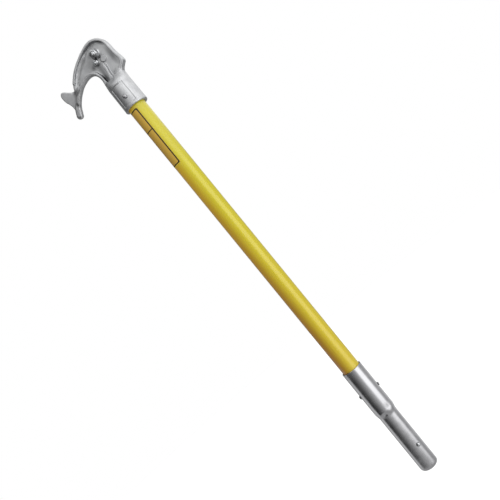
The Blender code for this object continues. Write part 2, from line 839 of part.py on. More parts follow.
def snap_button(material):
    """Domed button with an inner flange and a tail riveted through the leaf."""
    radius = BUTTON_DIAMETER / 2
    crown = SPIGOT_RADIUS + BUTTON_STAND
    dome = [(0.0, crown)]
    for angle in (68.0, 45.0, 22.0, 0.0):
        turn = math.radians(angle)
        dome.append((radius * math.cos(turn), crown - radius * 0.75 * (1 - math.sin(turn))))
    flange_low = BUTTON_FLANGE_TOP - BUTTON_FLANGE_THICKNESS
    leaf_low = LEAF_TOP - SPRING_THICKNESS - FIT_GAP
    body = [
        (radius, BUTTON_FLANGE_TOP),
        (BUTTON_FLANGE / 2, BUTTON_FLANGE_TOP),
        (BUTTON_FLANGE / 2, flange_low),
        (BUTTON_TAIL / 2, flange_low),
        (BUTTON_TAIL / 2, leaf_low),
        (BUTTON_TAIL_HEAD / 2, leaf_low),
        (BUTTON_TAIL_HEAD / 2, leaf_low - BUTTON_TAIL_HEAD_THICKNESS),
        (0.0, leaf_low - BUTTON_TAIL_HEAD_THICKNESS),
    ]
    button = link_part(turned("snap_button", dome + body, SMALL_STEPS), material)
    button.rotation_euler = turn_to(BUTTON_TURN)
    button.location = (0.0, 0.0, BUTTON_HEIGHT)
    return button


def button_spring(material):
    """Bent leaf: one leg carries the button, a round bend leads to the leg on the opposite wall."""
    half = SPRING_WIDTH / 2
    front = LEAF_TOP - SPRING_THICKNESS / 2
    wall = math.sqrt(SPIGOT_BORE_RADIUS**2 - half**2)
    back = -(wall - FIT_GAP - SPRING_THICKNESS / 2)
    bend = (front - back) / 2
    middle = (front + back) / 2
    path = [(front, -SPRING_BELOW_BUTTON), (front, -half), (front, half)]
    for step in range(11):
        angle = math.pi * step / 10
        path.append((middle + bend * math.cos(angle), SPRING_ABOVE_BUTTON + bend * math.sin(angle)))
    path.append((back, SPRING_ABOVE_BUTTON - SPRING_BACK_LEG))
    bm = bmesh.new()
    line = [bm.verts.new((-half, height, out)) for out, height in path]
    edges = [bm.edges.new(pair) for pair in zip(line, line[1:])]
    grown = bmesh.ops.extrude_edge_only(bm, edges=edges)["geom"]
    moved = [item for item in grown if isinstance(item, bmesh.types.BMVert)]
    bmesh.ops.translate(bm, vec=(SPRING_WIDTH, 0.0, 0.0), verts=moved)
    leaf = link_part(mesh_object("button_spring", bm), material)
    solid = leaf.modifiers.new("thickness", "SOLIDIFY")
    solid.thickness = SPRING_THICKNESS
    solid.offset = 0.0
    solid.use_even_offset = True
    leaf.rotation_euler = turn_to(BUTTON_TURN)
    leaf.location = (0.0, 0.0, BUTTON_HEIGHT)
    cutter = link_helper(rod("spring_hole", BUTTON_TAIL / 2 + FIT_GAP, 0.0, SPIGOT_RADIUS, SMALL_STEPS))
    cutter.rotation_euler = leaf.rotation_euler
    cutter.location = leaf.location
    boolean(leaf, "DIFFERENCE", cutter)
    return leaf


# Blade clamps


def washer(name, hole, outer, thickness, material):
    edge = thickness / 5
    profile = [
        (hole / 2, thickness),
        (outer / 2 - edge, thickness),
        (outer / 2, thickness - edge),
        (outer / 2, 0.0),
        (hole / 2, 0.0),
    ]
    return link_part(turned(name, profile, SMALL_STEPS), material)


def lock_washer(name, hardware, hole, material):
    """Split ring, pressed flat, with a radial slit."""
    ring = washer(name, hole, hardware["lock"], hardware["lock_thickness"], material)
    reach = hardware["lock"]
    slit = block(name + "_slit", (reach, LOCK_SLIT, reach), (reach / 2 + hole / 4, 0.0, 0.0))
    link_helper(slit)
    boolean(ring, "DIFFERENCE", slit)
    return ring, slit


def hexagon(name, flats, bottom, top, material):
    """Hexagon with its corners turned down on the outer face."""
    bm = bmesh.new()
    radius = flats / math.sqrt(3)
    middle = Matrix.Translation((0.0, 0.0, (bottom + top) / 2))
    bmesh.ops.create_cone(
        bm, cap_ends=True, segments=6, radius1=radius, radius2=radius, depth=top - bottom, matrix=middle
    )
    hexagon_piece = link_part(mesh_object(name, bm), material, 20.0)
    drop = (radius - flats / 2) * 1.2
    crown = [
        (0.0, top),
        (flats / 2 * 0.95, top),
        (radius + drop, top - drop),
        (radius + drop, bottom - PAST),
        (0.0, bottom - PAST),
    ]
    turning = link_helper(turned(name + "_crown", crown, ROUND_STEPS))
    boolean(hexagon_piece, "INTERSECT", turning)
    return hexagon_piece, turning


def clamp_stack(hardware):
    """Levels along the bolt, from the head's blade seat at 0 towards the front."""
    pad = WEB_THICKNESS + hardware["pad_height"]
    levels = {"back_washer": -FIT_GAP - hardware["washer_thickness"]}
    levels["bolt_head"] = levels["back_washer"] - FIT_GAP - hardware["head_height"]
    levels["front_washer"] = pad + FIT_GAP
    levels["lock"] = levels["front_washer"] + hardware["washer_thickness"] + FIT_GAP
    levels["nut"] = levels["lock"] + hardware["lock_thickness"] + FIT_GAP
    levels["end"] = levels["nut"] + hardware["nut_height"] + hardware["end"]
    return levels


def clamp_bolt(name, hardware, at, levels, material):
    head_low = levels["bolt_head"]
    head_top = head_low + hardware["head_height"]
    bolt, crown = hexagon(name, hardware["flats"], -head_top, -head_low, material)
    for piece in (bolt, crown):
        piece.rotation_euler = (-math.pi / 2, 0.0, 0.0)
        piece.location = (at[0], SEAT_Y, HEAD_BASE + at[1])
    radius = hardware["thread"] / 2
    point = radius / 5
    profile = [
        (0.0, levels["end"]),
        (radius - point, levels["end"]),
        (radius, levels["end"] - point),
        (radius, head_top - hardware["head_height"] / 2),
        (0.0, head_top - hardware["head_height"] / 2),
    ]
    shank = link_helper(turned(name + "_shank", profile, SMALL_STEPS))
    facing_front(shank, at, SEAT_Y)
    boolean(bolt, "UNION", shank)
    return bolt


def clamp(size, hardware, at, material, front_washer):
    """Bolt, washers and nut of one of the two blade clamps."""
    levels = clamp_stack(hardware)
    if not front_washer:
        drop = hardware["washer_thickness"] + FIT_GAP
        for level in ("lock", "nut", "end"):
            levels[level] -= drop
    hole = hardware["thread"] + 2 * FIT_GAP
    clamp_bolt(size + "_bolt", hardware, at, levels, material)
    thickness = hardware["washer_thickness"]
    back = washer(size + "_back_washer", hole, hardware["washer"], thickness, material)
    facing_front(back, at, SEAT_Y - levels["back_washer"])
    if front_washer:
        flat = washer(size + "_flat_washer", hole, hardware["washer"], thickness, material)
        facing_front(flat, at, SEAT_Y - levels["front_washer"])
    ring, slit = lock_washer(size + "_lock_washer", hardware, hole, material)
    for piece in (ring, slit):
        facing_front(piece, at, SEAT_Y - levels["lock"])
    nut, crown = hexagon(size + "_nut", hardware["flats"], 0.0, hardware["nut_height"], material)
    bore = link_helper(rod(size + "_nut_bore", hole / 2, -PAST, hardware["nut_height"] + PAST, SMALL_STEPS))
    boolean(nut, "DIFFERENCE", bore)
    for piece in (nut, crown, bore):
        facing_front(piece, at, SEAT_Y - levels["nut"])
        piece.rotation_euler.rotate_axis("Z", math.radians(NUT_TURN))


def build():
    cast = make_material("cast_aluminium", (0.56, 0.57, 0.58), 0.48, 1.0)
    glass = make_material("yellow_fibreglass", (0.72, 0.52, 0.04), 0.32, 0.0)
    foam = make_material("rigid_foam", (0.82, 0.76, 0.60), 0.85, 0.0)
    seal = make_material("seal_rubber", (0.05, 0.05, 0.05), 0.70, 0.0)
    plated = make_material("plated_ferrule", (0.62, 0.62, 0.63), 0.22, 1.0)
    zinc = make_material("zinc_plated_hardware", (0.66, 0.66, 0.66), 0.25, 1.0)
    rivets = make_material("rivet_steel", (0.35, 0.35, 0.36), 0.40, 1.0)
    leaf = make_material("spring_steel", (0.30, 0.31, 0.33), 0.35, 1.0)
    saw_head(cast)
    pole_tube(glass)
    foam_core(foam)
    end_seal("lower_seal", LOWER_FLANGE_Z, True, seal)
    end_seal("upper_seal", UPPER_FLANGE_Z + SEAL_FLANGE, False, seal)
    ferrule(plated)
    ferrule_rivet(rivets)
    head_rivet(rivets)
    snap_button(zinc)
    button_spring(leaf)
    clamp("large", LARGE, LARGE_BOLT_AT, zinc, front_washer=True)
    clamp("small", SMALL, SMALL_BOLT_AT, zinc, front_washer=False)
    bpy.context.view_layer.update()


build()
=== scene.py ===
import json
import math

import bmesh
import bpy
from mathutils import Matrix, Vector

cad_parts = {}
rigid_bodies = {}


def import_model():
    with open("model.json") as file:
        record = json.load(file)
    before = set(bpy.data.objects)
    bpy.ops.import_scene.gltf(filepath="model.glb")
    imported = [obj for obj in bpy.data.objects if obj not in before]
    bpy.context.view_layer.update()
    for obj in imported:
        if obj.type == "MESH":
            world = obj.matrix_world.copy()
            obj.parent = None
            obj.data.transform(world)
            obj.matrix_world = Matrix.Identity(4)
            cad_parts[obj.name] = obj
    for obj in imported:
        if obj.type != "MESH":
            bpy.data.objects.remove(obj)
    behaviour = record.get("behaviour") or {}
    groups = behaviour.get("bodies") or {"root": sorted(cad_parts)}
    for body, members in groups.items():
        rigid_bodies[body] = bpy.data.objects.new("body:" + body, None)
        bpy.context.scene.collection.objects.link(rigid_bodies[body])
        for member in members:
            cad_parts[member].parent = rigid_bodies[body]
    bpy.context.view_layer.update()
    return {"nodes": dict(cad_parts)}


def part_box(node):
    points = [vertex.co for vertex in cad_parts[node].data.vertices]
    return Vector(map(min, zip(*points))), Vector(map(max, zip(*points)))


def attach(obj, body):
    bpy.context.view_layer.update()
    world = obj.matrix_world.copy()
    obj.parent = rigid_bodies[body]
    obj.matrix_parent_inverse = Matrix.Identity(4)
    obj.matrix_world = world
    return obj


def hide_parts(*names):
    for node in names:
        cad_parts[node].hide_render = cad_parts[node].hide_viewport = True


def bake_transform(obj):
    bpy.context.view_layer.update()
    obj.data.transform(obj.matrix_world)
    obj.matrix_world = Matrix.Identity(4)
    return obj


for leftover in list(bpy.data.objects):
    bpy.data.objects.remove(leftover)
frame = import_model()
print("frame loaded:", len(frame["nodes"]), "nodes")


# small helpers; lengths are in metres and angles in degrees all through

mergeDistance = 0.0000005


def linearColour(hexValue):
    channels = []
    for place in (0, 2, 4):
        value = int(hexValue[place:place + 2], 16) / 255
        channels.append(value / 12.92 if value <= 0.04045 else ((value + 0.055) / 1.055) ** 2.4)
    return (*channels, 1.0)


def addNode(tree, kind, inputs=None, **settings):
    node = tree.nodes.new(kind)
    for name, value in settings.items():
        setattr(node, name, value)
    for name, value in (inputs or {}).items():
        if isinstance(value, bpy.types.NodeSocket):
            tree.links.new(value, node.inputs[name])
        else:
            node.inputs[name].default_value = value
    return node


def newMaterial(name, **uniform):
    material = bpy.data.materials.new(name)
    material.use_nodes = True
    shader = material.node_tree.nodes["Principled BSDF"]
    for socket, value in uniform.items():
        shader.inputs[socket.replace("_", " ")].default_value = value
    return material, material.node_tree, shader


def joinShader(tree, shader, **outputs):
    for socket, output in outputs.items():
        tree.links.new(output, shader.inputs[socket.replace("_", " ")])


def spinProfile(points, steps=96):
    # points are (radius, height); the outline is swept once round Z
    bm = bmesh.new()
    line = [bm.verts.new((radius, 0.0, height)) for radius, height in points]
    edges = [bm.edges.new(pair) for pair in zip(line, line[1:])]
    if points[0][0] > 0 and points[-1][0] > 0:
        edges.append(bm.edges.new((line[-1], line[0])))
    bmesh.ops.spin(bm, geom=line + edges, cent=(0, 0, 0), axis=(0, 0, 1), angle=math.tau,
                   steps=steps, use_merge=True)
    bmesh.ops.remove_doubles(bm, verts=bm.verts, dist=mergeDistance)
    bmesh.ops.recalc_face_normals(bm, faces=bm.faces)
    return bm


def arcPoints(centre, radius, start, end, steps):
    found = []
    for step in range(steps + 1):
        angle = math.radians(start + (end - start) * step / steps)
        found.append((centre[0] + radius * math.cos(angle), centre[1] + radius * math.sin(angle)))
    return found


def straightRod(radius, low, high, sides):
    bm = bmesh.new()
    bmesh.ops.create_cone(bm, cap_ends=True, segments=sides, radius1=radius, radius2=radius,
                          depth=high - low, matrix=Matrix.Translation((0, 0, (low + high) / 2)))
    return bm


def levelDisc(radius, height):
    bm = bmesh.new()
    bmesh.ops.create_circle(bm, cap_ends=True, segments=64, radius=radius)
    bmesh.ops.translate(bm, vec=(0, 0, height), verts=bm.verts)
    return bm


def flatSheet(wide, tall, columns, rows):
    bm = bmesh.new()
    bmesh.ops.create_grid(bm, x_segments=columns, y_segments=rows, size=0.5)
    bmesh.ops.scale(bm, vec=(wide, tall, 1.0), verts=bm.verts)
    return bm


def moveGrown(bm, grown, offset):
    # moves the points that an extrusion has just made
    points = [item for item in grown["geom"] if isinstance(item, bmesh.types.BMVert)]
    bmesh.ops.translate(bm, vec=offset, verts=points)


def smoothPoints(bm, verts, rounds):
    for turn in range(rounds):
        bmesh.ops.smooth_vert(bm, verts=verts, factor=0.5, use_axis_x=True, use_axis_y=True, use_axis_z=True)


def asObject(bm, name="work"):
    mesh = bpy.data.meshes.new(name)
    bm.to_mesh(mesh)
    bm.free()
    obj = bpy.data.objects.new(name, mesh)
    bpy.context.scene.collection.objects.link(obj)
    return obj


def appliedBmesh(obj):
    # the mesh with its modifiers, taken back into a bmesh; the object goes
    bpy.context.view_layer.update()
    graph = bpy.context.evaluated_depsgraph_get()
    mesh = bpy.data.meshes.new_from_object(obj.evaluated_get(graph))
    bm = bmesh.new()
    bm.from_mesh(mesh)
    bpy.data.objects.remove(obj)
    bpy.data.meshes.remove(mesh)
    return bm


def combine(bm, other, operation):
    base, tool = asObject(bm), asObject(other, "tool")
    step = base.modifiers.new("combine", "BOOLEAN")
    step.operation = operation
    step.solver = "EXACT"
    step.object = tool
    result = appliedBmesh(base)
    bpy.data.objects.remove(tool)
    return result


def finishPiece(bm, name, material, replaced, body="pole_and_head", angle=32.0):
    # the mesh becomes a piece of its body and stands in for the CAD nodes named; edges sharper than the
    # angle stay sharp
    bmesh.ops.remove_doubles(bm, verts=bm.verts, dist=mergeDistance)
    mesh = bpy.data.meshes.new(name)
    bm.to_mesh(mesh)
    bm.free()
    piece = bpy.data.objects.new(name, mesh)
    bpy.context.scene.collection.objects.link(piece)
    mesh.materials.append(material)
    mesh.shade_smooth()
    if angle:
        mesh.set_sharp_from_angle(angle=math.radians(angle))
    if body:
        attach(piece, body)
    if replaced:
        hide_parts(*replaced)
    return piece


def outwardAt(turn, height):
    # lays a piece made along Z level, pointing out of the pole at this turn from the front
    angle = math.radians(turn)
    outward = Vector((math.sin(angle), -math.cos(angle), 0.0))
    return Matrix.Translation((0, 0, height)) @ outward.to_track_quat("Z", "Y").to_matrix().to_4x4()


def frontAt(x, y, height, turn=0.0):
    # lays a piece made along Z on the head, pointing to the front
    spot = Matrix.Translation((x, y, height)) @ Matrix.Rotation(math.pi / 2, 4, "X")
    return spot @ Matrix.Rotation(math.radians(turn), 4, "Z")


def place(bm, matrix):
    bmesh.ops.transform(bm, matrix=matrix, verts=bm.verts)
    return bm


# materials

# nearly all values of a noise texture lie between these
noiseLow, noiseHigh = 0.3, 0.7

# the dark colour that castLook gives the corners and spots is painted shade
castLook = {"grain": 0.0009, "pitShare": 0.7, "cloud": 0.011, "light": "cbcccd", "dark": "b7b8ba",
            "paintedShade": "303032", "recess": 0.008, "shadeLean": (0.35, 0.0, -0.45), "filled": 0.08, "open": 0.56,
            "smooth": 0.40, "rough": 0.52, "relief": 0.20, "reliefDepth": 0.00012}

# painted shadows as soft spots on the front: middle, half size, turn, and the share of light it takes; the
# fade pair is where a spot starts and stops to fade, in half sizes
paintedShadowFade = (0.2, 1.1)
paintedShadowSpots = {
    "besideNuts": ((-0.0160, -0.001, 0.8560), (0.0200, 0.0065, 0.0160), 118, 0.45),
    "largeNut": ((-0.0085, -0.001, 0.8690), (0.0085, 0.0065, 0.0070), 60, 0.60),
    "smallNut": ((-0.0163, -0.001, 0.8505), (0.0068, 0.0065, 0.0058), 40, 0.65),
    "pocketFoot": ((-0.0102, -0.001, 0.8240), (0.0130, 0.0065, 0.0072), 85, 0.97),
    "pocketSide": ((-0.0085, -0.001, 0.8385), (0.0160, 0.0065, 0.0075), 80, 0.55),
    "backGroove": ((0.0222, -0.001, 0.8462), (0.0250, 0.0065, 0.0072), 92, 0.62),
    "topCorner": ((0.0186, -0.001, 0.8722), (0.0100, 0.0065, 0.0040), 121, 0.60),
    "backFoot": ((0.0075, -0.001, 0.8213), (0.0085, 0.0065, 0.0028), 35, 0.30),
    "finGroove": ((-0.0755, -0.001, 0.8360), (0.0100, 0.0065, 0.0050), 52, 0.50),
    "grooveEnd": ((-0.0772, -0.004, 0.8250), (0.0062, 0.0065, 0.0036), 80, 0.80),
}


def castAluminium():
    # sand-cast aluminium, tumbled: dull grey with cloudy patches and a sandy grain, coarser than the real
    # one; painted shade in its corners and painted shadows as soft spots
    material, tree, shader = newMaterial("cast_aluminium_tumbled", Metallic=1.0)
    spot = addNode(tree, "ShaderNodeTexCoord").outputs["Object"]
    cloud = addNode(tree, "ShaderNodeTexNoise", {
        "Vector": spot, "Scale": 1 / castLook["cloud"], "Detail": 3.0, "Roughness": 0.6})
    grain = addNode(tree, "ShaderNodeTexNoise", {
        "Vector": spot, "Scale": 1 / castLook["grain"], "Detail": 2.0, "Roughness": 0.55})
    pits = addNode(tree, "ShaderNodeTexVoronoi", {
        "Vector": spot, "Scale": castLook["pitShare"] / castLook["grain"]}, feature="SMOOTH_F1")
    shade = addNode(tree, "ShaderNodeMapRange", {
        "Value": cloud.outputs[0], "From Min": noiseLow, "From Max": noiseHigh})
    colour = addNode(tree, "ShaderNodeMix", {
        0: shade.outputs[0], 6: linearColour(castLook["dark"]), 7: linearColour(castLook["light"])},
        data_type="RGBA")
    # painted shade in the corners, leaned to be deepest in those towards the pole and the back edge
    facing = addNode(tree, "ShaderNodeNewGeometry").outputs["Normal"]
    leaning = addNode(tree, "ShaderNodeVectorMath", {0: facing, 1: castLook["shadeLean"]}, operation="ADD")
    openness = addNode(tree, "ShaderNodeAmbientOcclusion", {
        "Distance": castLook["recess"], "Normal": leaning.outputs[0]}, samples=12, only_local=True)
    unshaded = addNode(tree, "ShaderNodeMapRange", {
        "Value": openness.outputs["AO"], "From Min": castLook["filled"],
        "From Max": castLook["open"]}).outputs[0]
    # each spot darkens the colour as a painted shadow
    for middle, reach, turn, share in paintedShadowSpots.values():
        near = addNode(tree, "ShaderNodeMapping", {
            "Vector": spot, "Location": middle, "Rotation": (0.0, -math.radians(turn), 0.0), "Scale": reach},
            vector_type="TEXTURE")
        away = addNode(tree, "ShaderNodeVectorMath", {0: near.outputs[0]}, operation="LENGTH")
        left = addNode(tree, "ShaderNodeMapRange", {
            "Value": away.outputs["Value"], "From Min": paintedShadowFade[0], "From Max": paintedShadowFade[1],
            "To Min": 1 - share, "To Max": 1.0}, interpolation_type="SMOOTHSTEP")
        unshaded = addNode(tree, "ShaderNodeMath", {0: unshaded, 1: left.outputs[0]},
                         operation="MULTIPLY").outputs[0]
    shadedCast = addNode(tree, "ShaderNodeMix", {
        0: unshaded, 6: linearColour(castLook["paintedShade"]), 7: colour.outputs[2]}, data_type="RGBA")
    gloss = addNode(tree, "ShaderNodeMapRange", {
        "Value": grain.outputs[0], "From Min": noiseLow, "From Max": noiseHigh,
        "To Min": castLook["smooth"], "To Max": castLook["rough"]})
    relief = addNode(tree, "ShaderNodeMath", {0: grain.outputs[0], 1: pits.outputs[0]}, operation="ADD")
    bump = addNode(tree, "ShaderNodeBump", {
        "Height": relief.outputs[0], "Strength": castLook["relief"], "Distance": castLook["reliefDepth"]})
    joinShader(tree, shader, Base_Color=shadedCast.outputs[2], Roughness=gloss.outputs[0], Normal=bump.outputs[0])
    return material


poleRadius = 0.015875
# on one side the pole's yellow turns to a darker amber as painted shade, most of all low down
poleLook = {"fibreWidth": 0.0011, "fibreLength": 0.045, "shadedSide": (-0.948, -0.317, 0.0),
            "shadeFrom": -0.24, "shadeTo": 0.95, "top": 0.62, "low": 0.20,
            "ownTop": "dcd010", "ownLow": "e0c610", "shadedTop": "cca006", "shadedLow": "a06a04",
            "fibreDark": 0.95, "fibreLight": 1.05, "smooth": 0.26, "rough": 0.32,
            "relief": 0.03, "reliefDepth": 0.0001}


def fibreglassGelCoat():
    # pultruded fibreglass, pigmented resin: glassy, with faint lengthwise fibres, far coarser than the real
    # ones; the side away from the light carries painted shade in amber, deeper towards the bottom
    material, tree, shader = newMaterial("fibreglass_pultruded", IOR=1.5, Coat_Weight=0.7,
                                         Coat_Roughness=0.24, Coat_IOR=1.5)
    spot = addNode(tree, "ShaderNodeTexCoord").outputs["Object"]
    fibreSpace = addNode(tree, "ShaderNodeMapping", {
        "Vector": spot, "Scale": (1 / poleLook["fibreWidth"], 1 / poleLook["fibreWidth"],
                                  1 / poleLook["fibreLength"])})
    fibres = addNode(tree, "ShaderNodeTexNoise", {
        "Vector": fibreSpace.outputs[0], "Scale": 1.0, "Detail": 4.0, "Roughness": 0.6})
    # painted shade: how far a point lies towards the shaded side
    across = addNode(tree, "ShaderNodeVectorMath", {0: spot, 1: poleLook["shadedSide"]},
                     operation="DOT_PRODUCT")
    side = addNode(tree, "ShaderNodeMapRange", {
        "Value": across.outputs["Value"], "From Min": poleLook["shadeFrom"] * poleRadius,
        "From Max": poleLook["shadeTo"] * poleRadius}, interpolation_type="SMOOTHSTEP")
    height = addNode(tree, "ShaderNodeSeparateXYZ", {0: spot})
    low = addNode(tree, "ShaderNodeMapRange", {
        "Value": height.outputs["Z"], "From Min": poleLook["top"], "From Max": poleLook["low"]})
    sides = []
    for state in ("own", "shaded"):
        sides.append(addNode(tree, "ShaderNodeMix", {
            0: low.outputs[0], 6: linearColour(poleLook[state + "Top"]),
            7: linearColour(poleLook[state + "Low"])}, data_type="RGBA").outputs[2])
    body = addNode(tree, "ShaderNodeMix", {0: side.outputs[0], 6: sides[0], 7: sides[1]}, data_type="RGBA")
    strands = addNode(tree, "ShaderNodeMapRange", {
        "Value": fibres.outputs[0], "From Min": noiseLow, "From Max": noiseHigh,
        "To Min": poleLook["fibreDark"], "To Max": poleLook["fibreLight"]})
    colour = addNode(tree, "ShaderNodeVectorMath", {
        0: body.outputs[2], "Scale": strands.outputs[0]}, operation="SCALE")
    gloss = addNode(tree, "ShaderNodeMapRange", {
        "Value": fibres.outputs[0], "From Min": noiseLow, "From Max": noiseHigh,
        "To Min": poleLook["smooth"], "To Max": poleLook["rough"]})
    bump = addNode(tree, "ShaderNodeBump", {
        "Height": fibres.outputs[0], "Strength": poleLook["relief"], "Distance": poleLook["reliefDepth"]})
    joinShader(tree, shader, Base_Color=colour.outputs[0], Roughness=gloss.outputs[0], Normal=bump.outputs[0])
    return material


metalLook = {"smudgesPerMetre": 90.0, "glossFrom": 0.12, "glossTo": 0.40, "reliefDepth": 0.00006,
             "nearShade": "1c1c1e", "shadeFull": 0.35, "shadeFree": 0.90}


def drawnMetal(name, light, dark, width, length, smooth, rough, relief, shadeReach=0.0):
    # drawn, rolled or upset metal: smudged shine with lines along Z, coarser than the real ones; the last
    # argument is how far from other parts painted shade reaches
    material, tree, shader = newMaterial(name, Metallic=1.0)
    spot = addNode(tree, "ShaderNodeTexCoord").outputs["Object"]
    lineSpace = addNode(tree, "ShaderNodeMapping", {
        "Vector": spot, "Scale": (1 / width, 1 / width, 1 / length)})
    lines = addNode(tree, "ShaderNodeTexNoise", {
        "Vector": lineSpace.outputs[0], "Scale": 1.0, "Detail": 3.0, "Roughness": 0.65})
    smudge = addNode(tree, "ShaderNodeTexNoise", {
        "Vector": spot, "Scale": metalLook["smudgesPerMetre"], "Detail": 2.0, "Roughness": 0.5})
    mixed = addNode(tree, "ShaderNodeMath", {0: lines.outputs[0], 1: smudge.outputs[0]}, operation="MULTIPLY")
    colour = addNode(tree, "ShaderNodeMix", {
        0: smudge.outputs[0], 6: linearColour(dark), 7: linearColour(light)}, data_type="RGBA")
    gloss = addNode(tree, "ShaderNodeMapRange", {
        "Value": mixed.outputs[0], "From Min": metalLook["glossFrom"], "From Max": metalLook["glossTo"],
        "To Min": smooth, "To Max": rough})
    bump = addNode(tree, "ShaderNodeBump", {
        "Height": lines.outputs[0], "Strength": relief, "Distance": metalLook["reliefDepth"]})
    finish = colour.outputs[2]
    # painted shade where other parts are near
    if shadeReach:
        openness = addNode(tree, "ShaderNodeAmbientOcclusion", {"Distance": shadeReach}, samples=12)
        shadeFree = addNode(tree, "ShaderNodeMapRange", {
            "Value": openness.outputs["AO"], "From Min": metalLook["shadeFull"], "From Max": metalLook["shadeFree"]})
        finish = addNode(tree, "ShaderNodeMix", {
            0: shadeFree.outputs[0], 6: linearColour(metalLook["nearShade"]), 7: finish}, data_type="RGBA").outputs[2]
    joinShader(tree, shader, Base_Color=finish, Roughness=gloss.outputs[0], Normal=bump.outputs[0])
    return material


def speckledSolid(name, light, dark, size, roughness, relief):
    # moulded or foamed stock: even colour with a grain of the given size, coarser than the real one
    material, tree, shader = newMaterial(name, Roughness=roughness)
    spot = addNode(tree, "ShaderNodeTexCoord").outputs["Object"]
    cells = addNode(tree, "ShaderNodeTexVoronoi", {"Vector": spot, "Scale": 1 / size})
    colour = addNode(tree, "ShaderNodeMix", {
        0: cells.outputs[0], 6: linearColour(dark), 7: linearColour(light)}, data_type="RGBA")
    bump = addNode(tree, "ShaderNodeBump", {
        "Height": cells.outputs[0], "Strength": relief, "Distance": size / 3})
    joinShader(tree, shader, Base_Color=colour.outputs[2], Normal=bump.outputs[0])
    return material


castMetal = castAluminium()
gelCoat = fibreglassGelCoat()
# tube drawn through a die, swaged, then plated: bright, with long faint lines
platedTube = drawnMetal("steel_tube_drawn_plated", light="c4c4c6", dark="a8a8ab", width=0.0007, length=0.05,
                        smooth=0.16, rough=0.30, relief=0.10)
# bright zinc on turned and stamped steel: sharp highlights, and on the clamps painted shade near other parts
zincLook = {"light": "d6d8da", "dark": "aeb0b3", "width": 0.0006, "length": 0.002, "smooth": 0.08,
            "rough": 0.20, "relief": 0.15}
brightZinc = drawnMetal("steel_zinc_plated", **zincLook)
clampZinc = drawnMetal("steel_zinc_plated_shaded", **zincLook, shadeReach=0.005)
# rivets with upset heads: dull, one plain and one plated
rivetMetal = drawnMetal("steel_rivet_upset", light="8e8e90", dark="6a6a6d", width=0.0006, length=0.0012,
                        smooth=0.28, rough=0.42, relief=0.30)
platedRivet = drawnMetal("steel_rivet_plated", light="bcbcbe", dark="9a9a9d", width=0.0006, length=0.0012,
                         smooth=0.28, rough=0.42, relief=0.20)
# rolled strip, hardened and blued: dark, with a soft shine
springMetal = drawnMetal("steel_spring_blued", light="6e7278", dark="4c5057", width=0.0005, length=0.006,
                         smooth=0.25, rough=0.40, relief=0.20)
# foam poured into the tube: cream and matte, with open cells
foamCells = speckledSolid("polyurethane_foam", light="e6dcb8", dark="cbbf95", size=0.0008, roughness=0.85,
                          relief=0.6)
# rubber pressed in a mould: black, with a faint skin
rubberSkin = speckledSolid("rubber_moulded", light="1f1f20", dark="131314", size=0.0004, roughness=0.62,
                           relief=0.15)
print("materials made")


# casting

# the draft line is the rim's inner edge on the hook's side; the panel is the sunk one on the socket
castSpec = {"rimFront": -0.0065, "webFront": 0.0015, "webMargin": 0.0003, "draftWide": 0.010,
            "draftNarrow": 0.0035, "narrowsFrom": 0.75, "pastSlope": 0.001, "slopeRounds": 30,
            "finAt": (-0.0665, 0.8455), "finReach": 0.0105, "finDepth": 0.003, "finRounds": 140,
            "draftLine": [(-0.0660, 0.8470), (-0.0600, 0.8535), (-0.0525, 0.8605), (-0.0450, 0.8660),
                          (-0.0375, 0.8700), (-0.0300, 0.8740), (-0.0225, 0.8770), (-0.0150, 0.8800),
                          (-0.0040, 0.8828)],
            "weld": 0.000002, "voxel": 0.0006, "rimRadius": 0.021275, "topRadius": 0.0208,
            "low": 0.755, "high": 0.799, "shift": 0.0006, "panelLeft": -35.5, "panelRight": 36.9,
            "panelLow": 0.7598, "panelHigh": 0.7975, "sink": 0.0009, "past": 0.002}


def socketRadius(height):
    share = (height - castSpec["low"]) / (castSpec["high"] - castSpec["low"])
    return castSpec["rimRadius"] + (castSpec["topRadius"] - castSpec["rimRadius"]) * share


def panelCutter():
    # slab for the sunk bare panel: a flat sheet given its thickness, then wrapped round the socket
    spec = castSpec
    middle = (spec["rimRadius"] + spec["topRadius"]) / 2
    bm = flatSheet(math.radians(spec["panelRight"] - spec["panelLeft"]) * middle,
                   spec["panelHigh"] - spec["panelLow"], 24, 6)
    moveGrown(bm, bmesh.ops.extrude_face_region(bm, geom=bm.faces[:]), (0, 0, spec["sink"] + spec["past"]))
    turn = math.radians(spec["panelRight"] + spec["panelLeft"]) / 2
    level = (spec["panelHigh"] + spec["panelLow"]) / 2
    for vert in bm.verts:
        angle = vert.co.x / middle + turn
        height = level + vert.co.y
        radius = socketRadius(height) - spec["sink"] + vert.co.z
        vert.co = (spec["shift"] + radius * math.sin(angle), -radius * math.cos(angle), height)
    bmesh.ops.recalc_face_normals(bm, faces=bm.faces)
    return bm


def belowLine(point, start, end):
    # how far a point of the casting is below a line on its front; -1 for a point above the line
    start, end, point = Vector(start), Vector(end), Vector((point.x, point.z))
    share = max(0.0, min(1.0, (point - start).dot(end - start) / (end - start).length_squared))
    away = point - start.lerp(end, share)
    return away.length if (end - start).cross(away) < 0 else -1.0


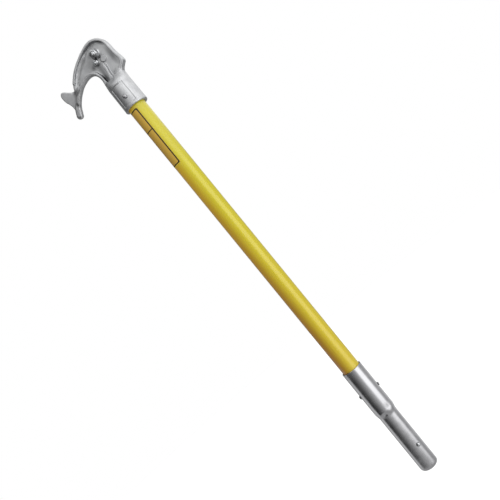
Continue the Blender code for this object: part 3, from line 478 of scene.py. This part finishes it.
def slopeRim(bm):
    # on the hook's side the rim runs out into the web in a long slope, and the slope shortens towards the
    # top; the slope and the corner at the fin are then smoothed
    spec = castSpec
    line = spec["draftLine"]
    left, right = line[0][0], line[-1][0]
    moved = []
    for vert in bm.verts:
        point = vert.co
        onRim = spec["rimFront"] < point.y < spec["webFront"] + spec["webMargin"]
        if not (onRim and left < point.x < right):
            continue
        below = min((belowLine(point, *pair) for pair in zip(line, line[1:])), key=abs)
        along = (point.x - left) / (right - left)
        narrowing = max(0.0, (along - spec["narrowsFrom"]) / (1 - spec["narrowsFrom"]))
        reach = spec["draftWide"] + (spec["draftNarrow"] - spec["draftWide"]) * narrowing
        if 0 <= below < reach + spec["pastSlope"]:
            rise = max(0.0, 1 - below / reach) ** 2
            point.y = min(point.y, spec["webFront"] + (spec["rimFront"] - spec["webFront"]) * rise)
            moved.append(vert)
    fin = [vert for vert in bm.verts if vert.co.y < spec["finDepth"]
           and math.dist((vert.co.x, vert.co.z), spec["finAt"]) < spec["finReach"]]
    smoothPoints(bm, moved, spec["slopeRounds"])
    smoothPoints(bm, fin, spec["finRounds"])


def castHead():
    bm = bmesh.new()
    bm.from_mesh(frame["nodes"]["saw_head"].data)
    bmesh.ops.remove_doubles(bm, verts=bm.verts, dist=castSpec["weld"])
    solid = asObject(combine(bm, panelCutter(), "DIFFERENCE"), "cast_work")
    skin = solid.modifiers.new("skin", "REMESH")
    skin.mode = "VOXEL"
    skin.voxel_size = castSpec["voxel"]
    bm = appliedBmesh(solid)
    slopeRim(bm)
    smoothPoints(bm, bm.verts, 1)
    return finishPiece(bm, "cast_saw_head", castMetal, ["saw_head"], angle=0)


castPiece = castHead()
print("casting:", len(castPiece.data.polygons), "faces")


# pole

poleSpec = {"bore": 0.012675, "low": 0.1239, "high": 0.7984, "edge": 0.0004}

rivetSpec = {
    "head": {"height": 0.7741, "turn": 4.0, "seat": 0.02134, "shank": 0.0048, "cap": 0.0072, "dome": 0.0025},
    "ferrule": {"height": 0.1576, "turn": 108.5, "seat": 0.018325, "shank": 0.0040, "cap": 0.0068,
                "dome": 0.0017},
}
rivetGap = 0.0003
domeRim = 10.0
drillReach = 0.03


def drill(bm, radius, turn, height, start):
    tool = straightRod(radius, start, drillReach, 48)
    return combine(bm, place(tool, outwardAt(turn, height)), "DIFFERENCE")


def drillForRivet(bm, spec):
    return drill(bm, spec["shank"] / 2 + rivetGap, spec["turn"], spec["height"], -drillReach)


def poleTube():
    bore, low, high, edge = (poleSpec[key] for key in ("bore", "low", "high", "edge"))
    tube = spinProfile([(bore, high), (poleRadius - edge, high), (poleRadius, high - edge),
                        (poleRadius, low + edge), (poleRadius - edge, low), (bore, low)])
    for spec in rivetSpec.values():
        tube = drillForRivet(tube, spec)
    finishPiece(tube, "fibreglass_pole", gelCoat, ["pole_tube"])


def throughRivet(key, name, metal):
    # a shank with the same dome at both ends; each dome meets its seat at a steep rim
    spec = rivetSpec[key]
    cap, seat = spec["cap"] / 2, spec["seat"]
    dome = [(0.0, seat + spec["dome"])]
    for step in range(1, 9):
        angle = math.radians(90.0 - (90.0 - domeRim) * step / 8)
        dome.append((cap * math.cos(angle) / math.cos(math.radians(domeRim)),
                     seat + spec["dome"] * math.sin(angle)))
    upper = dome + [(cap, seat), (spec["shank"] / 2, seat)]
    lower = [(radius, -level) for radius, level in reversed(upper)]
    bm = place(spinProfile(upper + lower, 40), outwardAt(spec["turn"], spec["height"]))
    finishPiece(bm, name, metal, [key + "_rivet"])


poleTube()
throughRivet("head", "rivet_through_socket", platedRivet)
throughRivet("ferrule", "rivet_through_ferrule", rivetMetal)


# label on the pole: blank printed film with a border and one divider

labelSpec = {"low": 0.6375, "high": 0.7510, "left": -118.0, "right": 13.8, "film": 0.00012, "gap": 0.00003,
             "inset": 0.0009, "line": 0.0020, "corner": 0.0035, "divider": 0.7078, "dividerShare": 0.8,
             "labelShadeFrom": 0.42, "labelShadeTo": 0.85, "tintLow": -0.15, "tintHigh": 0.85, "mottle": 0.002,
             "mottleShare": 0.3, "relief": 0.08, "reliefDepth": 0.0001,
             "shadedTan": "96701a", "tan": "d0a738", "margin": "dcc22e", "ink": "140c02"}
filmWidth = math.radians(labelSpec["right"] - labelSpec["left"]) * poleRadius
filmHeight = labelSpec["high"] - labelSpec["low"]


def printedFilm():
    # vinyl film, screen printed: tan field, dark border, slight gloss and a mottle coarser than the real one;
    # the field darkens to brown towards its left end as painted shade
    material, tree, shader = newMaterial("vinyl_film_printed", Roughness=0.38)
    place2d = addNode(tree, "ShaderNodeUVMap", uv_map="filmMetres")
    parts = addNode(tree, "ShaderNodeSeparateXYZ", {0: place2d.outputs[0]})
    # distance from the film's nearest edge, then from the divider
    mirrored = []
    for axis, size in (("X", filmWidth), ("Y", filmHeight)):
        far = addNode(tree, "ShaderNodeMath", {0: size, 1: parts.outputs[axis]}, operation="SUBTRACT")
        near = addNode(tree, "ShaderNodeMath", {0: parts.outputs[axis], 1: far.outputs[0]},
                       operation="MINIMUM")
        mirrored.append(near.outputs[0])
    edge = addNode(tree, "ShaderNodeMath", {
        0: mirrored[0], 1: mirrored[1], 2: labelSpec["corner"]}, operation="SMOOTH_MIN")
    halfLine = labelSpec["line"] / 2
    border = addNode(tree, "ShaderNodeMath", {
        0: edge.outputs[0], 1: labelSpec["inset"] + halfLine, 2: halfLine}, operation="COMPARE")
    divider = addNode(tree, "ShaderNodeMath", {
        0: parts.outputs["Y"], 1: labelSpec["divider"] - labelSpec["low"],
        2: halfLine * labelSpec["dividerShare"]}, operation="COMPARE")
    inside = addNode(tree, "ShaderNodeMath", {
        0: edge.outputs[0], 1: labelSpec["inset"]}, operation="GREATER_THAN")
    crossing = addNode(tree, "ShaderNodeMath", {0: divider.outputs[0], 1: inside.outputs[0]},
                       operation="MULTIPLY")
    ink = addNode(tree, "ShaderNodeMath", {0: border.outputs[0], 1: crossing.outputs[0]},
                  operation="MAXIMUM")
    spot = addNode(tree, "ShaderNodeTexCoord").outputs["Object"]
    mottle = addNode(tree, "ShaderNodeTexNoise", {
        "Vector": spot, "Scale": 1 / labelSpec["mottle"], "Detail": 3.0})
    # painted shade: the field is darker towards the film's left end
    labelShade = addNode(tree, "ShaderNodeMapRange", {
        "Value": parts.outputs["X"], "From Min": labelSpec["labelShadeFrom"] * filmWidth,
        "From Max": labelSpec["labelShadeTo"] * filmWidth,
        "To Min": labelSpec["tintLow"], "To Max": labelSpec["tintHigh"]})
    tint = addNode(tree, "ShaderNodeMath", {
        0: mottle.outputs[0], 1: labelSpec["mottleShare"], 2: labelShade.outputs[0]},
        operation="MULTIPLY_ADD", use_clamp=True)
    colour = addNode(tree, "ShaderNodeMix", {
        0: tint.outputs[0], 6: linearColour(labelSpec["shadedTan"]), 7: linearColour(labelSpec["tan"])},
        data_type="RGBA")
    colour = addNode(tree, "ShaderNodeMix", {
        0: inside.outputs[0], 6: linearColour(labelSpec["margin"]), 7: colour.outputs[2]}, data_type="RGBA")
    colour = addNode(tree, "ShaderNodeMix", {
        0: ink.outputs[0], 6: colour.outputs[2], 7: linearColour(labelSpec["ink"])}, data_type="RGBA")
    bump = addNode(tree, "ShaderNodeBump", {
        "Height": mottle.outputs[0], "Strength": labelSpec["relief"], "Distance": labelSpec["reliefDepth"]})
    joinShader(tree, shader, Base_Color=colour.outputs[2], Normal=bump.outputs[0])
    return material


def labelFilm():
    bm = flatSheet(filmWidth, filmHeight, 60, 4)
    bmesh.ops.translate(bm, vec=(filmWidth / 2, filmHeight / 2, 0.0), verts=bm.verts)
    layer = bm.loops.layers.uv.new("filmMetres")
    for face in bm.faces:
        for corner in face.loops:
            corner[layer].uv = corner.vert.co.xy
    moveGrown(bm, bmesh.ops.extrude_face_region(bm, geom=bm.faces[:]), (0, 0, labelSpec["film"]))
    for vert in bm.verts:
        angle = math.radians(labelSpec["left"]) + vert.co.x / poleRadius
        radius = poleRadius + labelSpec["gap"] + vert.co.z
        vert.co = (radius * math.sin(angle), -radius * math.cos(angle), labelSpec["low"] + vert.co.y)
    bmesh.ops.recalc_face_normals(bm, faces=bm.faces)
    finishPiece(bm, "label_film", printedFilm(), [])


labelFilm()
print("pole, rivets and label made")


# swaged ferrule

# each ring of crimps is four shallow dimples round the neck
ferruleSpec = {"wall": 0.00185, "spigot": 0.01615, "sleeve": 0.018025, "spigotTop": 0.1088,
               "neckTop": 0.1218, "top": 0.2045, "roll": 0.0065, "lip": 0.0004, "neckReach": 0.02,
               "crimps": 4, "crimpRings": [
                   {"turn": 43.5, "height": 0.1226, "wide": 0.0042, "tall": 0.0060, "deep": 0.0008},
                   {"turn": 2.0, "height": 0.1155, "wide": 0.0029, "tall": 0.0030, "deep": 0.0017}],
               "crimpFade": 1.4, "buttonHole": 0.003475, "buttonHeight": 0.0456, "buttonTurn": 41.0}


def neckLine(low, high):
    # from the sleeve's radius down to the spigot's in an S
    spec = ferruleSpec
    found = []
    for step in range(37):
        share = 1 - step / 36
        ease = share * share * (3 - 2 * share)
        found.append((low + (high - low) * ease,
                      spec["spigotTop"] + (spec["neckTop"] - spec["spigotTop"]) * share))
    return found


def steadyLine(radius, high, low, steps):
    # the points between the two ends of a straight wall
    return [(radius, high + (low - high) * step / steps) for step in range(1, steps)]


def ferrule():
    spec = ferruleSpec
    outer, inner = spec["roll"], spec["roll"] - spec["wall"]
    centre = (spec["spigot"] - outer, outer)
    bore = spec["sleeve"] - spec["wall"]
    outline = [(bore, spec["top"] - spec["lip"]), (bore + spec["lip"], spec["top"]),
               (spec["sleeve"] - spec["lip"], spec["top"]), (spec["sleeve"], spec["top"] - spec["lip"])]
    outline += steadyLine(spec["sleeve"], spec["top"] - spec["lip"], spec["neckTop"], 40)
    outline += neckLine(spec["spigot"], spec["sleeve"])
    outline += steadyLine(spec["spigot"], spec["spigotTop"], outer, 30)
    outline += arcPoints(centre, outer, 0.0, -90.0, 10)
    outline += arcPoints(centre, inner, -90.0, 0.0, 8)
    outline += reversed(neckLine(spec["spigot"] - spec["wall"], bore))
    bm = spinProfile(outline, 180)
    every = 360.0 / spec["crimps"]
    for vert in bm.verts:
        radius = math.hypot(vert.co.x, vert.co.y)
        if abs(vert.co.z - spec["neckTop"]) > spec["neckReach"]:
            continue
        depth = 0.0
        for ring in spec["crimpRings"]:
            around = math.degrees(math.atan2(vert.co.x, -vert.co.y)) - ring["turn"]
            around = (around + every / 2) % every - every / 2
            side = math.radians(around) * radius / ring["wide"]
            rise = (vert.co.z - ring["height"]) / ring["tall"]
            depth += ring["deep"] * math.exp(-(side * side + rise * rise) * spec["crimpFade"])
        vert.co.x *= 1 - depth / radius
        vert.co.y *= 1 - depth / radius
    bm = drillForRivet(bm, rivetSpec["ferrule"])
    bm = drill(bm, spec["buttonHole"], spec["buttonTurn"], spec["buttonHeight"], 0.0)
    finishPiece(bm, "swaged_ferrule", platedTube, ["ferrule"])


buttonPlace = outwardAt(ferruleSpec["buttonTurn"], ferruleSpec["buttonHeight"])
buttonSpec = {"radius": 0.003175, "crown": 0.02015, "crownShare": 0.75, "flangeTop": 0.013282,
              "flange": 0.0045, "flangeThick": 0.0010, "tail": 0.0015, "tailHead": 0.0024,
              "tailHeadThick": 0.0008, "leafGap": 0.0014}


def snapButton():
    # turned pin: a low dome, a flange that stops it in its hole, and a tail upset behind the leaf
    spec = buttonSpec
    dome = [(0.0, spec["crown"])]
    for step in range(1, 10):
        angle = math.radians(90 - 10 * step)
        dome.append((spec["radius"] * math.cos(angle),
                     spec["crown"] - spec["radius"] * spec["crownShare"] * (1 - math.sin(angle))))
    low = spec["flangeTop"] - spec["flangeThick"]
    under = low - spec["leafGap"]
    end = under - spec["tailHeadThick"]
    body = [(spec["radius"], spec["flangeTop"]), (spec["flange"], spec["flangeTop"]),
            (spec["flange"], low), (spec["tail"], low), (spec["tail"], under),
            (spec["tailHead"], under), (spec["tailHead"], end), (0.0, end)]
    bm = place(spinProfile(dome + body, 48), buttonPlace)
    finishPiece(bm, "button_pin", brightZinc, ["snap_button"], body="snap_button")


springSpec = {"wide": 0.0090, "thick": 0.0008, "below": 0.0100, "above": 0.0260, "backLeg": 0.0300,
              "gap": 0.0003, "hole": 0.0018, "holeReach": 0.016, "bendAcross": 63.0, "bendDown": 50.0}


def leafSpring():
    # one leg carries the button, a round bend leads to the leg on the spigot's opposite wall
    spec = springSpec
    front = buttonSpec["flangeTop"] - buttonSpec["flangeThick"] - spec["gap"] - spec["thick"] / 2
    back = -(buttonSpec["flangeTop"] - spec["thick"] / 2)
    frontLeg = spec["above"] + spec["below"]
    path = [(front, -spec["below"] + frontLeg * step / 36) for step in range(37)]
    path += arcPoints(((front + back) / 2, spec["above"]), (front - back) / 2, 0.0, 180.0, 24)[1:]
    path += [(back, spec["above"] - spec["backLeg"] * step / 12) for step in range(1, 13)]
    bm = bmesh.new()
    line = [bm.verts.new((-spec["wide"] / 2, height, out)) for out, height in path]
    edges = [bm.edges.new(pair) for pair in zip(line, line[1:])]
    moveGrown(bm, bmesh.ops.extrude_edge_only(bm, edges=edges), (spec["wide"], 0, 0))
    leaf = asObject(bm, "leaf_work")
    wall = leaf.modifiers.new("wall", "SOLIDIFY")
    wall.thickness = spec["thick"]
    wall.offset = 0.0
    wall.use_even_offset = True
    bm = combine(appliedBmesh(leaf), straightRod(spec["hole"], 0.0, spec["holeReach"], 32), "DIFFERENCE")
    bmesh.ops.recalc_face_normals(bm, faces=bm.faces)
    place(bm, buttonPlace)
    piece = finishPiece(bm, "leaf_spring", springMetal, ["button_spring"], body=None)
    # the slant for a bend of the front leg from its top to just above the button, one that leaves the back
    # leg at rest, is worked out here; nothing uses it
    reach = Vector((spec["bendAcross"], -spec["bendDown"]))
    reach /= reach.length_squared
    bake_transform(piece)


ferrule()
snapButton()
leafSpring()
print("ferrule, button and spring made")


# clamp hardware

clampSpec = {
    "large": {"x": 0.0008, "z": 0.8641, "thread": 0.00397, "pitch": 0.001411, "flats": 0.0127,
              "nutFace": -0.0080, "nutHigh": 0.0053, "end": -0.0093, "headLow": 0.0083, "headHigh": 0.0048,
              "nutTurn": 12.0, "washerBore": 0.0088, "washerSeat": 0.0140, "washerEdge": 0.0005},
    "small": {"x": -0.0072, "z": 0.8523, "thread": 0.002415, "pitch": 0.0010583, "flats": 0.00953,
              "nutFace": -0.0042, "nutHigh": 0.0034, "end": -0.0053, "headLow": 0.0081, "headHigh": 0.0032,
              "nutTurn": 12.0},
}

# shares of the flats for the rounded edge, of half the flats for the level face, of what is left for how far
# the corners drop, and of the corner for the cutter's edge
hexShares = {"edge": 0.02, "face": 0.72, "drop": 0.62, "past": 1.02}


def hexPrism(flats, high, bothEnds):
    # hexagon with softened edges, whose corners are turned down on one face or on both
    corner = flats / math.sqrt(3)
    bm = straightRod(corner, 0.0, high, 6)
    upright = [edge for edge in bm.edges if abs(edge.verts[0].co.z - edge.verts[1].co.z) > high / 2]
    bmesh.ops.bevel(bm, geom=upright, offset=flats * hexShares["edge"], offset_type="OFFSET", segments=3,
                    profile=0.5, affect="EDGES", clamp_overlap=True, material=-1)
    face = flats / 2 * hexShares["face"]
    drop = (corner - face) * hexShares["drop"]
    past = corner * hexShares["past"]
    crown = [(0.0, high), (face, high), (past, high - drop)]
    if bothEnds:
        crown += [(past, drop), (face, 0.0), (0.0, 0.0)]
    else:
        crown += [(past, 0.0), (0.0, 0.0)]
    return combine(bm, spinProfile(crown, 72), "INTERSECT")


# how far in and how far up, in pitches, each point of a tooth lies
threadTooth = [(0.5, 0.0), (0.0, 0.42), (0.0, 0.58), (0.5, 1.0)]
threadSteps = 36
threadMerge = 0.000001


def threadedRod(radius, pitch, low, high):
    # one tooth is spun upwards along the bolt, then both ends are cut flat
    turns = math.ceil((high - low) / pitch) + 2
    bm = bmesh.new()
    line = [bm.verts.new((radius - pitch * inward, 0.0, low - pitch + pitch * rise))
            for inward, rise in threadTooth]
    edges = [bm.edges.new(pair) for pair in zip(line, line[1:])]
    bmesh.ops.spin(bm, geom=line + edges, cent=(0, 0, 0), axis=(0, 0, 1), dvec=(0, 0, pitch / threadSteps),
                   angle=math.tau * turns, steps=threadSteps * turns)
    bmesh.ops.remove_doubles(bm, verts=bm.verts, dist=threadMerge)
    for level, side in ((low, -1), (high, 1)):
        bmesh.ops.bisect_plane(bm, geom=bm.verts[:] + bm.edges[:] + bm.faces[:], dist=0.0000001,
                               plane_co=(0, 0, level), plane_no=(0, 0, side), clear_outer=True)
        rim = [edge for edge in bm.edges if edge.is_boundary and
               all(abs(vert.co.z - level) < threadMerge for vert in edge.verts)]
        bmesh.ops.contextual_create(bm, geom=rim)
    bmesh.ops.recalc_face_normals(bm, faces=bm.faces)
    return bm


# how far out and how far back, in thread radii, each point of the domed end lies
boltPoint = [(0.0, 0.0), (0.4, 0.03), (0.8, 0.14), (1.3, 0.6)]
boltRoot = 0.001


def clampBolt(size):
    # made along Z from the head's inner face at 0 to the point
    spec = clampSpec[size]
    reach = spec["headLow"] - spec["end"]
    radius = spec["thread"]
    rod = threadedRod(radius, spec["pitch"], -boltRoot, reach)
    point = [(radius * out, reach - radius * drop) for out, drop in boltPoint]
    point += [(point[-1][0], -2 * boltRoot), (0.0, -2 * boltRoot)]
    rod = combine(rod, spinProfile(point, 48), "INTERSECT")
    head = hexPrism(spec["flats"], spec["headHigh"], False)
    place(head, Matrix.Rotation(math.pi, 4, "X"))
    bolt = combine(head, rod, "UNION")
    place(bolt, frontAt(spec["x"], spec["headLow"], spec["z"]))
    finishPiece(bolt, size + "_hex_bolt", clampZinc, [size + "_bolt"], angle=28.0)


def coneWasher(size):
    # stamped washer, slightly coned: full height under the lock washer, thin and rounded at its rim
    spec = clampSpec[size]
    low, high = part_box(size + "_flat_washer")
    rim, thick, edge = (high[0] - low[0]) / 2, high[1] - low[1], spec["washerEdge"]
    bore, seat = spec["washerBore"] / 2, spec["washerSeat"] / 2
    outline = [(bore, thick), (seat, thick), (rim - edge / 2, edge), (rim - edge * 0.15, edge * 0.75),
               (rim, edge * 0.35), (rim, 0.0), (bore, 0.0)]
    bm = place(spinProfile(outline), frontAt(spec["x"], high[1], spec["z"]))
    finishPiece(bm, size + "_cone_washer", clampZinc, [size + "_flat_washer"],
                angle=20.0)


nutBore = {"gap": 0.00022, "mouth": 0.0014, "past": 0.001, "deep": 0.0004}


def clampNut(size):
    # the bore clears the bolt's thread and opens into a countersink at both faces
    spec, high = clampSpec[size], clampSpec[size]["nutHigh"]
    bore = spec["thread"] + nutBore["gap"]
    mouth = bore + nutBore["mouth"]
    past, deep = nutBore["past"], nutBore["deep"]
    countersink = [(0.0, high + past), (mouth, high + past), (bore, high - deep), (bore, deep),
                   (mouth, -past), (0.0, -past)]
    nut = combine(hexPrism(spec["flats"], high, True), spinProfile(countersink, 48), "DIFFERENCE")
    place(nut, frontAt(spec["x"], spec["nutFace"] + high, spec["z"], spec["nutTurn"]))
    finishPiece(nut, size + "_hex_nut", clampZinc, [size + "_nut"],
                body=size + "_nut", angle=28.0)


for size in clampSpec:
    clampBolt(size)
    clampNut(size)
coneWasher("large")
print("clamp bolts and nuts made")


# CAD nodes that keep their shape

keptFinish = {
    "foam_core": foamCells, "upper_seal": rubberSkin, "lower_seal": rubberSkin,
    "large_back_washer": clampZinc, "small_back_washer": clampZinc,
    "large_lock_washer": clampZinc, "small_lock_washer": clampZinc,
}
for nodeName, finish in keptFinish.items():
    node = frame["nodes"][nodeName]
    node.data.materials.clear()
    node.data.materials.append(finish)


# studio: camera, floor, lights

# lens and sensor are in millimetres
viewSpec = {"turn": 18.5, "roll": 39.25, "height": 0.4565, "distance": 1.0256, "lens": 45.36,
            "shiftX": -0.0062, "shiftY": -0.0031, "sensor": 36.0, "near": 0.01, "far": 50.0}
viewTurn, viewRoll = math.radians(viewSpec["turn"]), math.radians(viewSpec["roll"])
rightOfPole = Vector((math.cos(viewTurn), math.sin(viewTurn), 0.0))
towardsCamera = Vector((math.sin(viewTurn), -math.cos(viewTurn), 0.0))
upPole = Vector((0.0, 0.0, 1.0))


def addCamera():
    data = bpy.data.cameras.new("camera")
    data.sensor_width = viewSpec["sensor"]
    data.lens = viewSpec["lens"]
    data.shift_x, data.shift_y = viewSpec["shiftX"], viewSpec["shiftY"]
    data.clip_start, data.clip_end = viewSpec["near"], viewSpec["far"]
    camera = bpy.data.objects.new("camera", data)
    bpy.context.scene.collection.objects.link(camera)
    across = rightOfPole * math.cos(viewRoll) - upPole * math.sin(viewRoll)
    upwards = rightOfPole * math.sin(viewRoll) + upPole * math.cos(viewRoll)
    camera.matrix_world = Matrix((across, upwards, towardsCamera)).transposed().to_4x4()
    camera.location = Vector((0, 0, viewSpec["height"])) + towardsCamera * viewSpec["distance"]
    bpy.context.scene.camera = camera


lampSpec = {
    "key_strip": {"turn": 42.0, "rise": 0.0, "distance": 0.72, "width": 0.30, "tall": 1.3, "radiance": 0.9,
                  "aim": 0.5},
    "top_box": {"turn": 60.0, "rise": 52.0, "distance": 1.2, "width": 0.8, "tall": 0.8, "radiance": 0.6,
                "aim": 0.6},
}


def addLight(name, turn, rise, distance, width, tall, radiance, aim):
    # turn is counted from the camera to the right, rise is the angle above level; reflections see the
    # cards instead
    level = math.radians(turn)
    flat = towardsCamera * math.cos(level) + rightOfPole * math.sin(level)
    outward = flat * math.cos(math.radians(rise)) + upPole * math.sin(math.radians(rise))
    data = bpy.data.lights.new(name, "AREA")
    data.shape = "RECTANGLE"
    data.size, data.size_y = width, tall
    data.energy = radiance * math.pi * width * tall
    lamp = bpy.data.objects.new(name, data)
    bpy.context.scene.collection.objects.link(lamp)
    lamp.location = Vector((0, 0, aim)) + outward * distance
    lamp.rotation_euler = outward.to_track_quat("Z", "Y").to_euler()
    lamp.visible_camera = False
    lamp.visible_glossy = False


def seenWhite(tree):
    # 1 for the rays that see the background: from the camera, or by way of metal or glass
    path = addNode(tree, "ShaderNodeLightPath")
    total = path.outputs["Is Camera Ray"]
    for rays in ("Is Glossy Ray", "Is Transmission Ray"):
        total = addNode(tree, "ShaderNodeMath", {0: total, 1: path.outputs[rays]},
                        operation="ADD", use_clamp=True).outputs[0]
    return total


studioSpec = {"ambient": 0.72, "floorLevel": -0.36, "floorGlow": 0.5, "cardRadius": 0.80, "cardTop": 1.45,
              "cardGap": 0.01, "floorCard": 0.50, "floorRadius": 4.0, "paper": "f4f4f4"}


def addWorld():
    world = bpy.data.worlds.new("studio")
    bpy.context.scene.world = world
    world.use_nodes = True
    tree = world.node_tree
    strength = addNode(tree, "ShaderNodeMapRange", {
        "Value": seenWhite(tree), "To Min": studioSpec["ambient"], "To Max": 1.0})
    background = tree.nodes["Background"]
    background.inputs["Color"].default_value = (1.0, 1.0, 1.0, 1.0)
    tree.links.new(strength.outputs[0], background.inputs["Strength"])


def addFloor():
    floor = asObject(levelDisc(studioSpec["floorRadius"], studioSpec["floorLevel"]), "studio_floor")
    material, tree, shader = newMaterial("floor_paper", Roughness=0.9)
    shader.inputs["Base Color"].default_value = linearColour(studioSpec["paper"])
    shader.inputs["Emission Color"].default_value = (1.0, 1.0, 1.0, 1.0)
    glow = addNode(tree, "ShaderNodeMath", {0: seenWhite(tree), 1: studioSpec["floorGlow"]},
                   operation="MULTIPLY")
    joinShader(tree, shader, Emission_Strength=glow.outputs[0])
    floor.data.materials.append(material)


# how bright the grey card is round the object, by angle to the right of the camera; a row for each stretch of
# the object that it is mirrored in, and the heights between which the card passes to the next row
cardRows = {
    "spigot": [(-180, 0.30), (-152, 0.40), (-132, 0.60), (-106, 0.95), (-96, 0.60), (-85, 0.05), (-66, 0.06),
               (-45, 0.15), (-28, 0.28), (-10, 0.48), (0, 0.58), (12, 0.70), (22, 0.80), (34, 0.98),
               (48, 1.40), (58, 1.55), (68, 1.10), (80, 0.58), (100, 0.58), (115, 0.65), (135, 0.9),
               (160, 0.7), (180, 0.30)],
    "sleeve": [(-180, 0.30), (-152, 0.40), (-132, 0.60), (-106, 0.95), (-96, 0.60), (-85, 0.05), (-66, 0.06),
               (-45, 0.15), (-28, 0.30), (-10, 0.54), (0, 0.68), (10, 0.85), (20, 1.35), (28, 2.1), (64, 2.1),
               (72, 1.3), (84, 0.68), (100, 0.62), (115, 0.65), (135, 0.9), (160, 0.7), (180, 0.30)],
    "pole": [(-180, 0.25), (-100, 0.18), (-60, 0.12), (0, 0.20), (14, 0.40), (24, 2.2), (62, 2.2), (74, 0.45),
             (180, 0.25)],
    "poleTop": [(-180, 0.25), (-100, 0.12), (-60, 0.15), (-20, 0.7), (24, 1.3), (62, 1.3), (90, 1.0),
                (180, 0.25)],
    "head": [(-180, 0.80), (-145, 0.45), (-122, 0.12), (-89, 0.10), (-64, 0.24), (-50, 0.45), (-42, 0.90),
             (-32, 1.00), (-20, 1.00), (0, 1.30), (20, 1.60), (41, 1.75), (64, 1.5), (90, 1.40), (120, 1.3),
             (150, 1.1), (180, 0.80)],
    "aboveHead": [(-180, 0.30), (-100, 0.08), (-60, 0.15), (-40, 0.50), (-20, 1.2), (0, 1.9), (20, 2.0),
                  (60, 1.4), (120, 1.1), (180, 0.30)],
}
cardSteps = [(-0.16, -0.14), (0.005, 0.045), (0.78, 0.84), (0.88, 0.94), (1.22, 1.34)]


def reflectedOnly(bm, name, strength):
    # a grey card that only reflections see: it gives the metal its dark and light bands
    card = asObject(bm, name)
    material, tree, shader = newMaterial(name + "_board", Roughness=1.0)
    shader.inputs["Base Color"].default_value = (0.0, 0.0, 0.0, 1.0)
    shader.inputs["Specular IOR Level"].default_value = 0.0
    shader.inputs["Emission Color"].default_value = (1.0, 1.0, 1.0, 1.0)
    if callable(strength):
        joinShader(tree, shader, Emission_Strength=strength(tree))
    else:
        shader.inputs["Emission Strength"].default_value = strength
    card.data.materials.append(material)
    for rays in ("camera", "diffuse", "shadow", "transmission"):
        setattr(card, "visible_" + rays, False)


def cardShade(tree):
    spot = addNode(tree, "ShaderNodeSeparateXYZ", {0: addNode(tree, "ShaderNodeTexCoord").outputs["Object"]})
    front = addNode(tree, "ShaderNodeMath", {0: spot.outputs["Y"], 1: -1.0}, operation="MULTIPLY")
    turn = addNode(tree, "ShaderNodeMath", {0: spot.outputs["X"], 1: front.outputs[0]}, operation="ARCTAN2")
    fromCamera = addNode(tree, "ShaderNodeMath", {0: turn.outputs[0], 1: viewTurn}, operation="SUBTRACT")
    wrapped = addNode(tree, "ShaderNodeMath", {0: fromCamera.outputs[0], 1: math.pi, 2: -math.pi},
                      operation="WRAP")
    share = addNode(tree, "ShaderNodeMapRange", {
        "Value": wrapped.outputs[0], "From Min": -math.pi, "From Max": math.pi})
    shades = []
    for levels in cardRows.values():
        ramp = addNode(tree, "ShaderNodeValToRGB", {0: share.outputs[0]})
        stops = ramp.color_ramp.elements
        while len(stops) < len(levels):
            stops.new(0.5)
        for stop, (angle, level) in zip(stops, levels):
            stop.position = (angle + 180) / 360
            stop.color = (level, level, level, 1.0)
        shades.append(ramp.outputs[0])
    shade = shades[0]
    for (start, end), above in zip(cardSteps, shades[1:]):
        rise = addNode(tree, "ShaderNodeMapRange", {
            "Value": spot.outputs["Z"], "From Min": start, "From Max": end})
        shade = addNode(tree, "ShaderNodeMix", {0: rise.outputs[0], 6: shade, 7: above},
                        data_type="RGBA").outputs[2]
    return shade


topCardSpec = {"towards": (0.90, -0.43, 0.0), "from": -0.40, "to": -0.08, "dark": 0.10, "light": 1.00}


def topShade(tree):
    # the upper card is dark over the hook's side, which is what the left of the nuts and washers mirrors
    spec = topCardSpec
    spot = addNode(tree, "ShaderNodeTexCoord").outputs["Object"]
    across = addNode(tree, "ShaderNodeVectorMath", {0: spot, 1: spec["towards"]}, operation="DOT_PRODUCT")
    return addNode(tree, "ShaderNodeMapRange", {
        "Value": across.outputs["Value"], "From Min": spec["from"], "From Max": spec["to"],
        "To Min": spec["dark"], "To Max": spec["light"]}).outputs[0]


def addCards():
    radius = studioSpec["cardRadius"]
    bottom = studioSpec["floorLevel"] + studioSpec["cardGap"]
    bm = bmesh.new()
    low, high = bm.verts.new((radius, 0, bottom)), bm.verts.new((radius, 0, studioSpec["cardTop"]))
    bmesh.ops.spin(bm, geom=[low, high, bm.edges.new((low, high))], cent=(0, 0, 0), axis=(0, 0, 1),
                   angle=math.tau, steps=128, use_merge=True)
    reflectedOnly(bm, "round_card", cardShade)
    for name, level, strength in (("floor_card", bottom, studioSpec["floorCard"]),
                                  ("top_card", studioSpec["cardTop"], topShade)):
        reflectedOnly(levelDisc(radius, level), name, strength)


addCamera()
for lampName, spec in lampSpec.items():
    addLight(lampName, **spec)
addWorld()
addFloor()
addCards()
bpy.context.scene.view_settings.view_transform = "Standard"
print("studio made")

bpy.context.view_layer.update()
